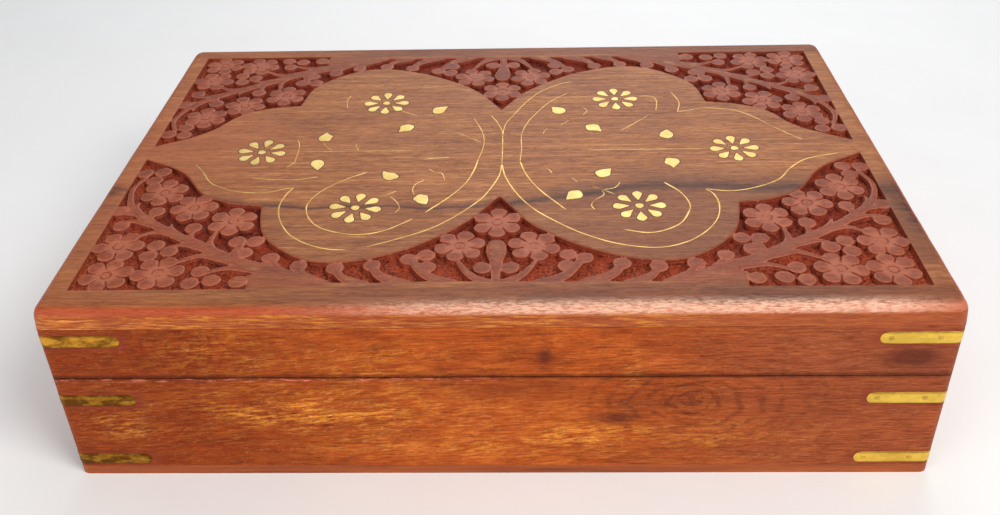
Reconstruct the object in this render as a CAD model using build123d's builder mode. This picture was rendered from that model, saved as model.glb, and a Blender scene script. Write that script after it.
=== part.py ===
"""A hinged wooden jewelry box with a carved lid, brass inlay and brass corner straps.

Frame: millimetres, +Z up, +X to the right, -Y to the front. The origin is the centre of the underside.
The base is four mitred boards on a bottom panel, and the lid is four mitred boards under a carved top
board. The lid turns on two butt hinges let into the back boards.
"""

import os
from math import acos, cos, hypot, pi, radians, sin, sqrt, tan

from build123d import *

os.makedirs("parts", exist_ok=True)

# --- Overall sizes -------------------------------------------------------------------------------
box_width = 305.0
box_depth = 203.0
wall = 10.0
corner_radius = 3.0

bottom_thickness = 4.0
base_board_height = 42.0
seam_gap = 0.4
lid_board_height = 21.1
top_thickness = 8.5
top_round = 4.5
top_corner_radius = 5.0

# --- Corner straps and their nails ---------------------------------------------------------------
strap_leg = 27.5
strap_width = 5.2
strap_thickness = 0.8
strap_above_bottom = 7.7
strap_below_seam = 10.0
strap_below_top_board = 5.1
strap_nail_from_end = 3.5
strap_nail_from_corner = 8.0
nail_radius = 0.6
nail_length = 6.5
nail_head_radius = 0.95
nail_head_rise = 0.25

# --- Nails that hold the bottom panel ------------------------------------------------------------
panel_nail_radius = 0.7
panel_nail_length = 16.0
panel_nail_head_radius = 1.4
panel_nail_head_depth = 0.6
panel_nail_spread_x = 80.0
panel_nail_spread_y = 55.0

# --- Hinges --------------------------------------------------------------------------------------
hinge_length = 38.0
hinge_from_centre = 92.0
hinge_inset = 2.6
leaf_thickness = 1.0
leaf_width = 7.0
barrel_radius = 2.1
barrel_clearance = 0.3
knuckle_gap = 0.2
knuckle_count = 5
pin_radius = 1.0
pin_clearance = 0.05
pin_head_radius = 1.5
pin_head_height = 0.5
leaf_root = 1.2
bevel_angle = 50.0
screw_radius = 0.9
screw_head_radius = 1.75
screw_length = 8.0
screw_pitch = 12.0
screw_slot_width = 0.4
screw_slot_depth = 0.35

# --- Lining and dividers -------------------------------------------------------------------------
lining_thickness = 1.0
lining_below_rim = 1.0
lid_lining_margin = 0.5
divider_thickness = 4.0
divider_height = 28.0
divider_clearance = 0.2
cross_divider_x = 47.0

# --- Carved field and inlay ----------------------------------------------------------------------
border_side = 9.2
border_front = 10.6
carve_depth = 2.5
smallest_ground = 1.0
petal_count = 6
petal_radius = 3.25
petal_ring = 5.95
bud_radius = 3.25
inlay_thickness = 0.8
wire_width = 0.5
brass_petal_count = 8
brass_petal_inner = 4.0
brass_petal_outer = 9.6
brass_petal_end_radius = 1.6
brass_eye_radius = 1.5
brass_leaf_length = 4.7
brass_leaf_end_radius = 3.0
inlay_gap = 0.2

# --- Levels and places worked out from the sizes -------------------------------------------------
half_width = box_width / 2
half_depth = box_depth / 2
inner_width = box_width - 2 * wall
inner_depth = box_depth - 2 * wall
base_top = bottom_thickness + base_board_height
lid_bottom = base_top + seam_gap
top_bottom = lid_bottom + lid_board_height
box_height = top_bottom + top_thickness
field_x = half_width - border_side
field_y = half_depth - border_front
pivot_y = half_depth - hinge_inset
pivot_z = (base_top + lid_bottom) / 2
floor_top = bottom_thickness + lining_thickness
lining_height = base_board_height - lining_thickness - lining_below_rim
strap_heights = {
    "bottom": strap_above_bottom,
    "middle": base_top - strap_below_seam,
    "lid": top_bottom - strap_below_top_board,
}
corner_signs = {
    "front_left": (-1, -1),
    "front_right": (1, -1),
    "back_left": (-1, 1),
    "back_right": (1, 1),
}


def save(part, name):
    """Labels a finished piece and writes it to its own file."""
    part.label = name
    export_step(part, f"parts/{name}.step")


# --- Corner straps -------------------------------------------------------------------------------
def corner_strap(sign_x, sign_y, height):
    """A brass strip bent round one corner, flush with the wood, with a round end on each leg."""
    with BuildPart() as strap:
        with BuildSketch(Plane.XY.offset(height - strap_width / 2)):
            RectangleRounded(box_width, box_depth, corner_radius)
            RectangleRounded(
                box_width - 2 * strap_thickness,
                box_depth - 2 * strap_thickness,
                corner_radius - strap_thickness,
                mode=Mode.SUBTRACT,
            )
            with Locations((sign_x * half_width, sign_y * half_depth)):
                Rectangle(2 * strap_leg, 2 * strap_leg, mode=Mode.INTERSECT)
        extrude(amount=strap_width)
        end_x = sign_x * (half_width - strap_leg)
        end_y = sign_y * (half_depth - strap_leg)
        ends = strap.edges().filter_by(Axis.Y).filter_by_position(Axis.X, end_x - 0.01, end_x + 0.01)
        ends += strap.edges().filter_by(Axis.X).filter_by_position(Axis.Y, end_y - 0.01, end_y + 0.01)
        fillet(ends, radius=strap_width / 2 - 0.02)
    return strap.part


def strap_nail_planes(sign_x, sign_y, height):
    """The planes of a strap's four nail heads, each facing out of the box."""
    planes = []
    for reach in (strap_leg - strap_nail_from_end, strap_nail_from_corner):
        on_front = (sign_x * (half_width - reach), sign_y * half_depth, height)
        on_side = (sign_x * half_width, sign_y * (half_depth - reach), height)
        planes.append(Plane(origin=on_front, x_dir=(1, 0, 0), z_dir=(0, sign_y, 0)))
        planes.append(Plane(origin=on_side, x_dir=(0, 1, 0), z_dir=(sign_x, 0, 0)))
    return planes


def nails(planes):
    """Round-headed nails, one on each plane, with the head's underside on the plane."""
    with BuildPart() as group:
        for plane in planes:
            with BuildSketch(plane):
                Circle(nail_radius)
            extrude(amount=-nail_length)
            with BuildSketch(plane):
                Circle(nail_head_radius)
            extrude(amount=nail_head_rise, taper=25)
    return group.part


def nail_holes(planes):
    """What the nails' shanks take out of the straps and the boards."""
    with BuildPart() as holes:
        for plane in planes:
            with BuildSketch(plane):
                Circle(nail_radius)
            extrude(amount=-nail_length)
    return holes.part


strap_nails = {}
strap_cuts = {}
for level, height in strap_heights.items():
    for corner, (sign_x, sign_y) in corner_signs.items():
        planes = strap_nail_planes(sign_x, sign_y, height)
        blank = corner_strap(sign_x, sign_y, height)
        holes = nail_holes(planes)
        with BuildPart() as strap:
            add(blank)
            add(holes, mode=Mode.SUBTRACT)
        save(strap.part, f"strap_{level}_{corner}")
        strap_nails[level] = strap_nails.get(level, []) + planes
        strap_cuts[level] = strap_cuts.get(level, []) + [blank, holes]

base_nails = nails(strap_nails["bottom"] + strap_nails["middle"])
save(base_nails, "base_strap_nails")
lid_nails = nails(strap_nails["lid"])
save(lid_nails, "lid_strap_nails")

# --- Bottom panel and its nails ------------------------------------------------------------------
panel_nail_places = [
    (x, sign * (half_depth - wall / 2))
    for x in (-panel_nail_spread_x, 0, panel_nail_spread_x)
    for sign in (-1, 1)
]
panel_nail_places += [
    (sign * (half_width - wall / 2), y)
    for y in (-panel_nail_spread_y, panel_nail_spread_y)
    for sign in (-1, 1)
]

with BuildPart() as panel_nails:
    with BuildSketch():
        with Locations(*panel_nail_places):
            Circle(panel_nail_radius)
    extrude(amount=panel_nail_length)
    with BuildSketch():
        with Locations(*panel_nail_places):
            Circle(panel_nail_head_radius)
    extrude(amount=panel_nail_head_depth)
save(panel_nails.part, "bottom_panel_nails")

with BuildPart() as bottom_panel:
    with BuildSketch():
        RectangleRounded(box_width, box_depth, corner_radius)
    extrude(amount=bottom_thickness)
    add(panel_nails.part, mode=Mode.SUBTRACT)
save(bottom_panel.part, "bottom_panel")

# --- Hinges --------------------------------------------------------------------------------------
leaf_front = pivot_y - leaf_width
leaf_back = pivot_y - barrel_radius - barrel_clearance
screw_y = (leaf_front + leaf_back) / 2
knuckle_length = (hinge_length - (knuckle_count - 1) * knuckle_gap) / knuckle_count
hinge_centres = {"left": -hinge_from_centre, "right": hinge_from_centre}


def screw_blank(x, face_z, direction):
    """A countersunk screw's outline, head flush with face_z and shank running along direction."""
    plane = Plane(origin=(x, screw_y, face_z), x_dir=(1, 0, 0), z_dir=(0, 0, direction))
    sink = screw_head_radius - screw_radius
    with BuildPart() as blank:
        with BuildSketch(plane):
            Circle(screw_head_radius)
        extrude(amount=sink, taper=45)
        with BuildSketch(plane):
            Circle(screw_radius)
        extrude(amount=screw_length)
    return blank.part


def hinge_screws(face_z, direction):
    """The blanks of one row's screws, three in each hinge."""
    places = [
        centre + step * screw_pitch for centre in hinge_centres.values() for step in (-1, 0, 1)
    ]
    return [screw_blank(x, face_z, direction) for x in places]


def slotted(blanks, face_z, direction):
    """The screws with a driver slot across each head."""
    with BuildPart() as group:
        for blank in blanks:
            add(blank)
        with BuildSketch(Plane.XY.offset(face_z)):
            for blank in blanks:
                with Locations((blank.center().X, screw_y)):
                    Rectangle(2 * screw_head_radius + 1, screw_slot_width)
        extrude(amount=direction * screw_slot_depth, mode=Mode.SUBTRACT)
    return group.part


base_screw_blanks = hinge_screws(base_top, -1)
lid_screw_blanks = hinge_screws(lid_bottom, 1)
save(slotted(base_screw_blanks, base_top, -1), "base_hinge_screws")
save(slotted(lid_screw_blanks, lid_bottom, 1), "lid_hinge_screws")


def hinge_leaf(centre, plate_bottom, first, bore, blanks):
    """A leaf with every second knuckle from number first, and countersunk for its screws."""
    start = centre - hinge_length / 2
    pitch = knuckle_length + knuckle_gap
    with BuildPart() as leaf:
        with BuildSketch(Plane.XY.offset(plate_bottom)):
            with Locations((centre, (leaf_front + leaf_back) / 2)):
                Rectangle(hinge_length, leaf_back - leaf_front)
        extrude(amount=leaf_thickness)
        for number in range(first, knuckle_count, 2):
            knuckle_x = start + number * pitch
            with BuildSketch(Plane.XY.offset(plate_bottom)):
                with Locations((knuckle_x + knuckle_length / 2, (leaf_front + pivot_y - leaf_root) / 2)):
                    Rectangle(knuckle_length, pivot_y - leaf_root - leaf_front)
            extrude(amount=leaf_thickness)
            axis_plane = Plane(origin=(knuckle_x, pivot_y, pivot_z), x_dir=(0, 1, 0), z_dir=(1, 0, 0))
            with BuildSketch(axis_plane):
                Circle(barrel_radius)
            extrude(amount=knuckle_length)
            with BuildSketch(axis_plane):
                Circle(bore)
            extrude(amount=knuckle_length, mode=Mode.SUBTRACT)
        for blank in blanks:
            add(blank, mode=Mode.SUBTRACT)
    return leaf.part


def hinge_pin(centre):
    """A pin with a riveted head at each end of the barrel."""
    start = Plane(
        origin=(centre - hinge_length / 2, pivot_y, pivot_z), x_dir=(0, 1, 0), z_dir=(1, 0, 0)
    )
    with BuildPart() as pin:
        with BuildSketch(start):
            Circle(pin_radius)
        extrude(amount=hinge_length)
        for face_plane, way in ((start, -1), (start.offset(hinge_length), 1)):
            with BuildSketch(face_plane):
                Circle(pin_head_radius)
            extrude(amount=way * pin_head_height, taper=20)
    return pin.part


for side, centre in hinge_centres.items():
    base_leaf = hinge_leaf(centre, base_top - leaf_thickness, 0, pin_radius, base_screw_blanks)
    save(base_leaf, f"hinge_base_leaf_{side}")
    lid_leaf = hinge_leaf(centre, lid_bottom, 1, pin_radius + pin_clearance, lid_screw_blanks)
    save(lid_leaf, f"hinge_lid_leaf_{side}")
    save(hinge_pin(centre), f"hinge_pin_{side}")


def hinge_mortises(plate_bottom):
    """The room that the hinges take from one back board: each leaf's seat and the barrel's groove."""
    with BuildPart() as room:
        for centre in hinge_centres.values():
            with BuildSketch(Plane.XY.offset(plate_bottom)):
                with Locations((centre, (leaf_front + pivot_y) / 2)):
                    Rectangle(hinge_length, leaf_width)
            extrude(amount=leaf_thickness)
            groove_length = hinge_length + 2 * (pin_head_height + barrel_clearance)
            groove_plane = Plane(
                origin=(centre - groove_length / 2, pivot_y, pivot_z), x_dir=(0, 1, 0), z_dir=(1, 0, 0)
            )
            with BuildSketch(groove_plane):
                Circle(barrel_radius + barrel_clearance)
            extrude(amount=groove_length)
    return room.part


def back_bevel(apex_z, way):
    """The wedge cut from the back edge along the seam, so that the open lid stops on it."""
    reach = hinge_inset + 1.0
    drop = way * reach * tan(radians(bevel_angle))
    with BuildPart() as wedge:
        with BuildSketch(Plane.YZ.offset(-half_width - 1)):
            with BuildLine():
                Polyline(
                    (pivot_y, apex_z),
                    (pivot_y + reach, apex_z),
                    (pivot_y + reach, apex_z + drop),
                    close=True,
                )
            make_face()
        extrude(amount=box_width + 2)
    return wedge.part


# --- Mitred boards -------------------------------------------------------------------------------
mitre_reach = wall + 1.0
board_sectors = {
    "front": [(-1, -1, 0), (1, -1, 0), (1, -1, 1), (-1, -1, 1)],
    "back": [(-1, 1, 0), (1, 1, 0), (1, 1, 1), (-1, 1, 1)],
    "left": [(-1, -1, 0), (-1, 1, 0), (-1, 1, 1), (-1, -1, 1)],
    "right": [(1, -1, 0), (1, 1, 0), (1, 1, 1), (1, -1, 1)],
}


def frame_board(side, bottom, height, cuts):
    """One board of a mitred frame, with everything let into it cut away."""
    outline = [
        (sx * (half_width - deep * mitre_reach), sy * (half_depth - deep * mitre_reach))
        for sx, sy, deep in board_sectors[side]
    ]
    with BuildPart() as board:
        with BuildSketch(Plane.XY.offset(bottom)):
            RectangleRounded(box_width, box_depth, corner_radius)
            Rectangle(inner_width, inner_depth, mode=Mode.SUBTRACT)
            with BuildLine():
                Polyline(*outline, close=True)
            make_face(mode=Mode.INTERSECT)
        extrude(amount=height)
        for cut in cuts:
            add(cut, mode=Mode.SUBTRACT)
    return board.part


base_cuts = strap_cuts["bottom"] + strap_cuts["middle"] + [back_bevel(base_top, -1), panel_nails.part]
lid_cuts = strap_cuts["lid"] + [back_bevel(lid_bottom, 1)]
for side in board_sectors:
    hinge_base = [hinge_mortises(base_top - leaf_thickness), *base_screw_blanks]
    hinge_lid = [hinge_mortises(lid_bottom), *lid_screw_blanks]
    extra_base = hinge_base if side == "back" else []
    extra_lid = hinge_lid if side == "back" else []
    base_board = frame_board(side, bottom_thickness, base_board_height, base_cuts + extra_base)
    save(base_board, f"base_{side}_board")
    lid_board = frame_board(side, lid_bottom, lid_board_height, lid_cuts + extra_lid)
    save(lid_board, f"lid_{side}_board")

# --- Lining --------------------------------------------------------------------------------------
with BuildPart() as floor_lining:
    with BuildSketch(Plane.XY.offset(bottom_thickness)):
        Rectangle(inner_width, inner_depth)
    extrude(amount=lining_thickness)
save(floor_lining.part, "floor_lining")

with BuildPart() as lid_lining:
    with BuildSketch(Plane.XY.offset(top_bottom - lining_thickness)):
        Rectangle(inner_width - 2 * lid_lining_margin, inner_depth - 2 * lid_lining_margin)
    extrude(amount=lining_thickness)
save(lid_lining.part, "lid_lining")

lined_width = inner_width - 2 * lining_thickness
lined_depth = inner_depth - 2 * lining_thickness
wall_linings = {
    "front": ((0, -(inner_depth - lining_thickness) / 2), inner_width, lining_thickness),
    "back": ((0, (inner_depth - lining_thickness) / 2), inner_width, lining_thickness),
    "left": ((-(inner_width - lining_thickness) / 2, 0), lining_thickness, lined_depth),
    "right": (((inner_width - lining_thickness) / 2, 0), lining_thickness, lined_depth),
}
for side, (place, size_x, size_y) in wall_linings.items():
    with BuildPart() as wall_lining:
        with BuildSketch(Plane.XY.offset(floor_top)):
            with Locations(place):
                Rectangle(size_x, size_y)
        extrude(amount=lining_height)
    save(wall_lining.part, f"{side}_wall_lining")

# --- Dividers, halved over each other ------------------------------------------------------------
slot_width = divider_thickness + 2 * divider_clearance
cross_places = {"left": -cross_divider_x, "right": cross_divider_x}

with BuildPart() as long_divider:
    with BuildSketch(Plane.XY.offset(floor_top)):
        Rectangle(lined_width - 2 * divider_clearance, divider_thickness)
    extrude(amount=divider_height)
    with BuildSketch(Plane.XY.offset(floor_top + divider_height / 2)):
        with Locations(*[(x, 0) for x in cross_places.values()]):
            Rectangle(slot_width, 2 * divider_thickness)
    extrude(amount=divider_height, mode=Mode.SUBTRACT)
save(long_divider.part, "long_divider")

for side, x in cross_places.items():
    with BuildPart() as cross_divider:
        with BuildSketch(Plane.XY.offset(floor_top)):
            with Locations((x, 0)):
                Rectangle(divider_thickness, lined_depth - 2 * divider_clearance)
        extrude(amount=divider_height)
        with BuildSketch(Plane.XY.offset(floor_top)):
            with Locations((x, 0)):
                Rectangle(2 * divider_thickness, slot_width)
        extrude(amount=divider_height / 2, mode=Mode.SUBTRACT)
    save(cross_divider.part, f"cross_divider_{side}")

# --- The lid's carved pattern --------------------------------------------------------------------
# One quarter of the pattern, measured from the lid's centre towards a side and towards the front. It is
# drawn for a field of this half size, and placed() spreads it over the real one.
drawn_x = 143.3
drawn_y = 90.9
flowers = [
    (133.0, 82.4, 20), (134.2, 65.8, 5), (115.8, 81.3, 12), (97.3, 50.3, 30),
    (114.0, 41.0, 8), (128.6, 30.2, 25), (12.8, 66.8, 15), (0.0, 52.6, 30),
]
buds = [
    (127.6, 43.4), (110.7, 54.0), (138.0, 52.6), (141.2, 42.4), (87.0, 86.4), (78.6, 73.2),
    (67.8, 77.9), (55.2, 79.3), (42.6, 77.6), (4.8, 79.6),
]
trefoils = [
    [(140.4, 15.8), (133.6, 15.2), (134.8, 21.6)],
    [(121.1, 65.2), (115.4, 68.8), (122.0, 71.4)],
    [(92.4, 63.2), (86.0, 63.0), (88.4, 69.8)],
    [(101.2, 80.4), (96.0, 85.6), (103.0, 87.0)],
    [(30.2, 74.4), (24.4, 72.2), (23.8, 78.8)],
]
# Each stem is its centre line, with its width at each point.
stems = [
    [(60.0, 88.0, 5.0), (70.6, 84.0, 7.0), (81.5, 79.1, 6.4), (91.1, 74.4, 5.4), (107.4, 64.1, 4.6),
     (121.8, 54.9, 4.0), (129.3, 49.1, 3.8), (136.0, 43.0, 3.2), (140.2, 35.5, 2.4), (141.6, 27.3, 2.1),
     (138.8, 19.0, 1.7)],
    [(127.2, 52.0, 3.0), (133.2, 49.8, 2.3), (138.0, 50.2, 1.8)],
    [(117.0, 58.4, 3.2), (124.5, 56.8, 2.2), (130.5, 60.5, 1.5)],
    [(105.4, 66.6, 3.4), (111.5, 64.8, 2.4), (116.5, 66.5, 1.6)],
    [(95.2, 73.4, 3.8), (103.5, 71.4, 2.6), (111.5, 75.5, 1.7)],
    [(84.2, 79.3, 4.0), (92.0, 78.6, 2.5), (98.5, 81.0, 1.7)],
    [(72.0, 83.4, 4.4), (80.8, 83.0, 3.0), (86.0, 85.6, 2.0)],
    [(134.4, 44.6, 3.0), (138.2, 44.4, 2.3), (140.8, 43.0, 1.8)],
    [(135.0, 44.0, 3.8), (136.4, 40.2, 2.1), (135.9, 36.6, 0.4)],
    [(129.6, 49.6, 3.2), (128.2, 46.4, 2.0), (127.6, 44.0, 1.6)],
    [(116.0, 58.8, 4.4), (118.6, 55.0, 2.4), (119.7, 51.6, 0.4)],
    [(110.6, 62.0, 3.6), (110.2, 58.2, 2.1), (110.7, 55.0, 1.6)],
    [(98.6, 70.0, 4.2), (102.0, 64.0, 2.6), (101.8, 56.0, 1.3)],
    [(89.0, 76.0, 4.4), (91.6, 70.6, 3.6), (90.4, 65.0, 2.5)],
    [(69.0, 84.6, 4.4), (75.4, 78.6, 3.0), (78.2, 74.4, 2.4)],
    [(57.4, 88.4, 5.0), (64.4, 83.4, 3.2), (67.6, 79.0, 2.5)],
    [(44.6, 88.6, 5.4), (51.6, 84.6, 3.4), (55.0, 80.2, 2.5)],
    [(30.2, 88.8, 5.6), (38.6, 84.0, 4.0), (42.4, 78.6, 3.0)],
    [(14.8, 89.0, 5.6), (23.6, 83.6, 4.0), (29.0, 75.6, 3.0)],
    [(1.5, 88.8, 4.6), (9.0, 83.6, 3.0), (14.6, 73.6, 1.0)],
    [(0.0, 90.6, 3.2), (0.0, 83.0, 3.2), (0.0, 76.0, 4.6), (0.0, 69.6, 7.2), (0.0, 66.4, 6.0)],
]
ledge_depth = 3.4
ledge_reach = 79.0
root_depth = 6.6
root_start = 66.0
root_end = 83.6
cartouche_tip = [(144.3, 4.6), (125.4, 16.0), (113.8, 31.2), (101.5, 38.0), (89.0, 40.2)]
cartouche_lobe = [
    (89.0, 40.2), (84.4, 59.0), (69.5, 73.2), (53.0, 76.2), (31.0, 68.4), (12.0, 53.0), (0.0, 34.8),
]


def placed(*point):
    """A point of the drawn pattern on the real field; numbers after the first two stay as they are."""
    x, y, *rest = point
    return (x * field_x / drawn_x, y * field_y / drawn_y, *rest)


def flower_face(x, y, turn, reach=petal_ring, petal=petal_radius, count=petal_count):
    """A flower's outline: one arc for each round petal, meeting where neighbours cross."""
    half_step = pi / count
    chord = reach * sin(half_step)
    notch = reach * cos(half_step) + sqrt(petal**2 - chord**2)
    with BuildLine() as rim:
        for number in range(count):
            middle = radians(turn) + 2 * number * half_step
            ends = [(x + notch * cos(middle + s * half_step), y + notch * sin(middle + s * half_step))
                    for s in (-1, 1)]
            top = (x + (reach + petal) * cos(middle), y + (reach + petal) * sin(middle))
            ThreePointArc(ends[0], top, ends[1])
    return make_face(rim.edges())


def tapered_face(points):
    """A curved strip along a centre line, as wide at each point as its third number says."""
    left, right = [], []
    for index, (x, y, width) in enumerate(points):
        before = points[max(index - 1, 0)]
        after = points[min(index + 1, len(points) - 1)]
        run = hypot(after[0] - before[0], after[1] - before[1])
        normal = (-(after[1] - before[1]) / run, (after[0] - before[0]) / run)
        left.append((x + normal[0] * width / 2, y + normal[1] * width / 2))
        right.append((x - normal[0] * width / 2, y - normal[1] * width / 2))
    with BuildLine() as rim:
        Spline(*left)
        Line(left[-1], right[-1])
        Spline(*right[::-1])
        Line(right[0], left[0])
    return make_face(rim.edges())


with BuildSketch() as cartouche_quarter:
    tip = [placed(*point) for point in cartouche_tip]
    lobe = [placed(*point) for point in cartouche_lobe]
    with BuildLine():
        Line((0, 0), (tip[0][0], 0))
        Line((tip[0][0], 0), tip[0])
        Spline(*tip)
        Spline(*lobe)
        Line(lobe[-1], (0, 0))
    make_face()

with BuildSketch() as ground_quarter:
    with Locations((field_x / 2, field_y / 2)):
        Rectangle(field_x, field_y)
    add(cartouche_quarter.sketch, mode=Mode.SUBTRACT)
    for start, end, depth in ((0, ledge_reach, ledge_depth), (root_start, root_end, root_depth)):
        with Locations(placed((start + end) / 2, drawn_y - depth / 2)):
            Rectangle(
                (end - start) * field_x / drawn_x, depth * field_y / drawn_y, mode=Mode.SUBTRACT
            )
    for stem in stems:
        add(tapered_face([placed(*point) for point in stem]), mode=Mode.SUBTRACT)
    for flower in flowers:
        add(flower_face(*placed(*flower)), mode=Mode.SUBTRACT)
    with Locations(*[placed(*p) for p in buds + [petal for trefoil in trefoils for petal in trefoil]]):
        Circle(bud_radius, mode=Mode.SUBTRACT)

ground_faces = [face for face in ground_quarter.sketch.faces() if face.area > smallest_ground]
quarter_signs = [(1, -1), (-1, -1), (-1, 1), (1, 1)]


def in_quarter(shape, sign_x, sign_y):
    """Turns a shape of the one quarter over into the quarter on that side of the lid."""
    if sign_x < 0:
        shape = mirror(shape, about=Plane.YZ)
    if sign_y < 0:
        shape = mirror(shape, about=Plane.XZ)
    return shape


def at_top(shapes, depth):
    """Flat shapes as one piece that reaches from the lid's top down to depth."""
    with BuildPart() as piece:
        with BuildSketch(Plane.XY.offset(box_height - depth)):
            for shape in shapes:
                add(shape)
        extrude(amount=depth)
    return piece.part


# --- Brass inlay, let into the lid flush with the top --------------------------------------------
brass_flowers = [(-97.3, -0.7), (94.3, -1.1), (-51.0, 41.3), (49.7, 43.0), (-53.3, -42.5), (52.1, -42.7)]
# Each leaf is the middle of its round end and the way that it points, in degrees.
brass_leaves = [
    (-73.1, 10.6, 90), (-72.9, -10.2, -80), (68.4, 10.4, 82), (68.0, -11.2, -90),
    (-39.8, 18.8, 230), (-42.6, -20.4, 130), (38.4, 17.4, -45), (40.2, -19.6, 45),
    (-27.4, 34.0, 45), (-29.2, -36.6, -60), (24.8, 32.6, 135), (28.8, -34.6, 225),
]
# Each wire is its centre line in the one quarter.
brass_wires = [
    [(0.9, 13.0), (6.0, 32.0), (14.5, 47.0), (31.0, 60.5), (55.5, 69.0), (75.5, 58.5), (81.3, 41.0),
     (78.6, 29.5)],
    [(78.9, 31.0), (88.5, 33.2), (101.0, 30.0), (110.5, 22.0), (119.0, 11.5), (127.0, 7.2), (135.5, 5.5)],
    [(8.8, 8.0), (12.0, 23.0), (20.5, 38.0), (34.0, 53.0), (52.0, 59.8), (66.5, 53.0), (71.3, 41.0),
     (66.0, 29.0), (53.0, 17.0)],
    [(45.4, 35.4), (41.6, 32.6), (37.8, 29.8)],
    [(40.8, 35.0), (36.9, 41.5), (38.0, 46.0)],
    [(29.0, 23.5), (33.0, 28.5), (32.3, 34.0)],
    [(84.6, 12.8), (82.4, 8.4), (82.0, 2.2)],
    [(73.0, 7.0), (71.4, 3.0), (68.5, 0.9)],
    [(96.0, 20.6), (85.0, 22.3), (73.0, 19.4)],
]
brass_stems = [
    [(-88.5, -0.6), (-62.0, -0.4), (-35.5, -0.6)],
    [(32.5, -1.4), (60.0, -1.3), (85.5, -1.2)],
    [(0.9, -13.0), (0.9, 0.0), (0.9, 13.0)],
]


def teardrop_face(x, y, angle, reach, end_radius):
    """A teardrop whose round end is centred on a point and whose tip is reach away along angle."""
    half_width_angle = acos(end_radius / reach)
    middle = radians(angle)
    tip = (x + reach * cos(middle), y + reach * sin(middle))
    sides = (middle - half_width_angle, middle + half_width_angle)
    touch = [(x + end_radius * cos(side), y + end_radius * sin(side)) for side in sides]
    back = (x - end_radius * cos(middle), y - end_radius * sin(middle))
    with BuildLine() as rim:
        Line(tip, touch[0])
        ThreePointArc(touch[0], back, touch[1])
        Line(touch[1], tip)
    return make_face(rim.edges())


def brass_flower_faces(x, y):
    """Eight teardrop petals that point at the middle, and the round eye between them."""
    end = brass_petal_outer - brass_petal_end_radius
    faces = []
    for number in range(brass_petal_count):
        angle = number * 360 / brass_petal_count
        petal_x = x + end * cos(radians(angle))
        petal_y = y + end * sin(radians(angle))
        faces.append(
            teardrop_face(petal_x, petal_y, angle + 180, end - brass_petal_inner, brass_petal_end_radius)
        )
    with BuildSketch() as eye:
        with Locations((x, y)):
            Circle(brass_eye_radius)
    return [*faces, eye.face()]


flower_places = [placed(*place) for place in brass_flowers]
leaf_places = [placed(*leaf) for leaf in brass_leaves]
flower_metal = at_top([f for x, y in flower_places for f in brass_flower_faces(x, y)], inlay_thickness)
save(flower_metal, "brass_flower_inlays")
leaf_metal = at_top(
    [teardrop_face(x, y, angle, brass_leaf_length, brass_leaf_end_radius) for x, y, angle in leaf_places],
    inlay_thickness,
)
save(leaf_metal, "brass_leaf_inlays")

wire_faces = [tapered_face([placed(x, y, wire_width) for x, y in wire]) for wire in brass_wires]
stem_faces = [tapered_face([placed(x, y, wire_width) for x, y in wire]) for wire in brass_stems]
with BuildSketch() as wire_pattern:
    for sign_x, sign_y in quarter_signs:
        for wire_face in wire_faces:
            add(in_quarter(wire_face, sign_x, sign_y))
    for stem_face in stem_faces:
        add(stem_face)
    with Locations(*flower_places):
        Circle(brass_petal_outer + inlay_gap, mode=Mode.SUBTRACT)
    with Locations(*[(x, y) for x, y, angle in leaf_places]):
        Circle(brass_leaf_end_radius + inlay_gap, mode=Mode.SUBTRACT)
wire_metal = at_top([wire_pattern.sketch], inlay_thickness)
save(wire_metal, "brass_wire_inlays")

# --- Carved top board ----------------------------------------------------------------------------
with BuildPart() as lid_top_panel:
    with BuildSketch(Plane.XY.offset(top_bottom)):
        RectangleRounded(box_width, box_depth, top_corner_radius)
    extrude(amount=top_thickness)
    fillet(lid_top_panel.faces().sort_by(Axis.Z)[-1].edges(), radius=top_round)
    for sign_x, sign_y in quarter_signs:
        with BuildSketch(Plane.XY.offset(box_height - carve_depth)):
            for ground_face in ground_faces:
                add(in_quarter(ground_face, sign_x, sign_y))
        extrude(amount=carve_depth, mode=Mode.SUBTRACT)
    for metal in (flower_metal, leaf_metal, wire_metal):
        add(metal, mode=Mode.SUBTRACT)
save(lid_top_panel.part, "lid_top_panel")
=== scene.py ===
"""Looks of the hinged wooden jewelry box: carved lid, brass inlay, brass straps and velvet lining.

All lengths in this file are millimetres, in the frame's own axes, and become metres when a mesh,
a light or the camera is made.
"""

import math

import bpy
import numpy as np
from mathutils import Matrix, Vector


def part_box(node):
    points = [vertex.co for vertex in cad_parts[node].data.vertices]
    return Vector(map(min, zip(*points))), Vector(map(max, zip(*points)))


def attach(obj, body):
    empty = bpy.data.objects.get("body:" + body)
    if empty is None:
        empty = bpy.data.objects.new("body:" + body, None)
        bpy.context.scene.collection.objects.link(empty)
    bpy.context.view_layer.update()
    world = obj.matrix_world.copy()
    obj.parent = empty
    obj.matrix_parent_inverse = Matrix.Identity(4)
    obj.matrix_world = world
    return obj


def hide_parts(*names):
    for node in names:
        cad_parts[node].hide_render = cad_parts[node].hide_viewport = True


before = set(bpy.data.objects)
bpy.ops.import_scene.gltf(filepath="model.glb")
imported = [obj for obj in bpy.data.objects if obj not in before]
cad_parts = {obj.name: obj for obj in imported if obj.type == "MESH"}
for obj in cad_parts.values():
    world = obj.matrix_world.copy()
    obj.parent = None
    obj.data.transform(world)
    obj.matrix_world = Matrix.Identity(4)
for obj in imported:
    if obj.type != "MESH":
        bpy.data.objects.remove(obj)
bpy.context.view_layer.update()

MM = 0.001


def box_mm(node):
    """Lowest and highest corner of a CAD node, in millimetres."""
    low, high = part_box(node)
    return np.array(low) / MM, np.array(high) / MM


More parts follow.
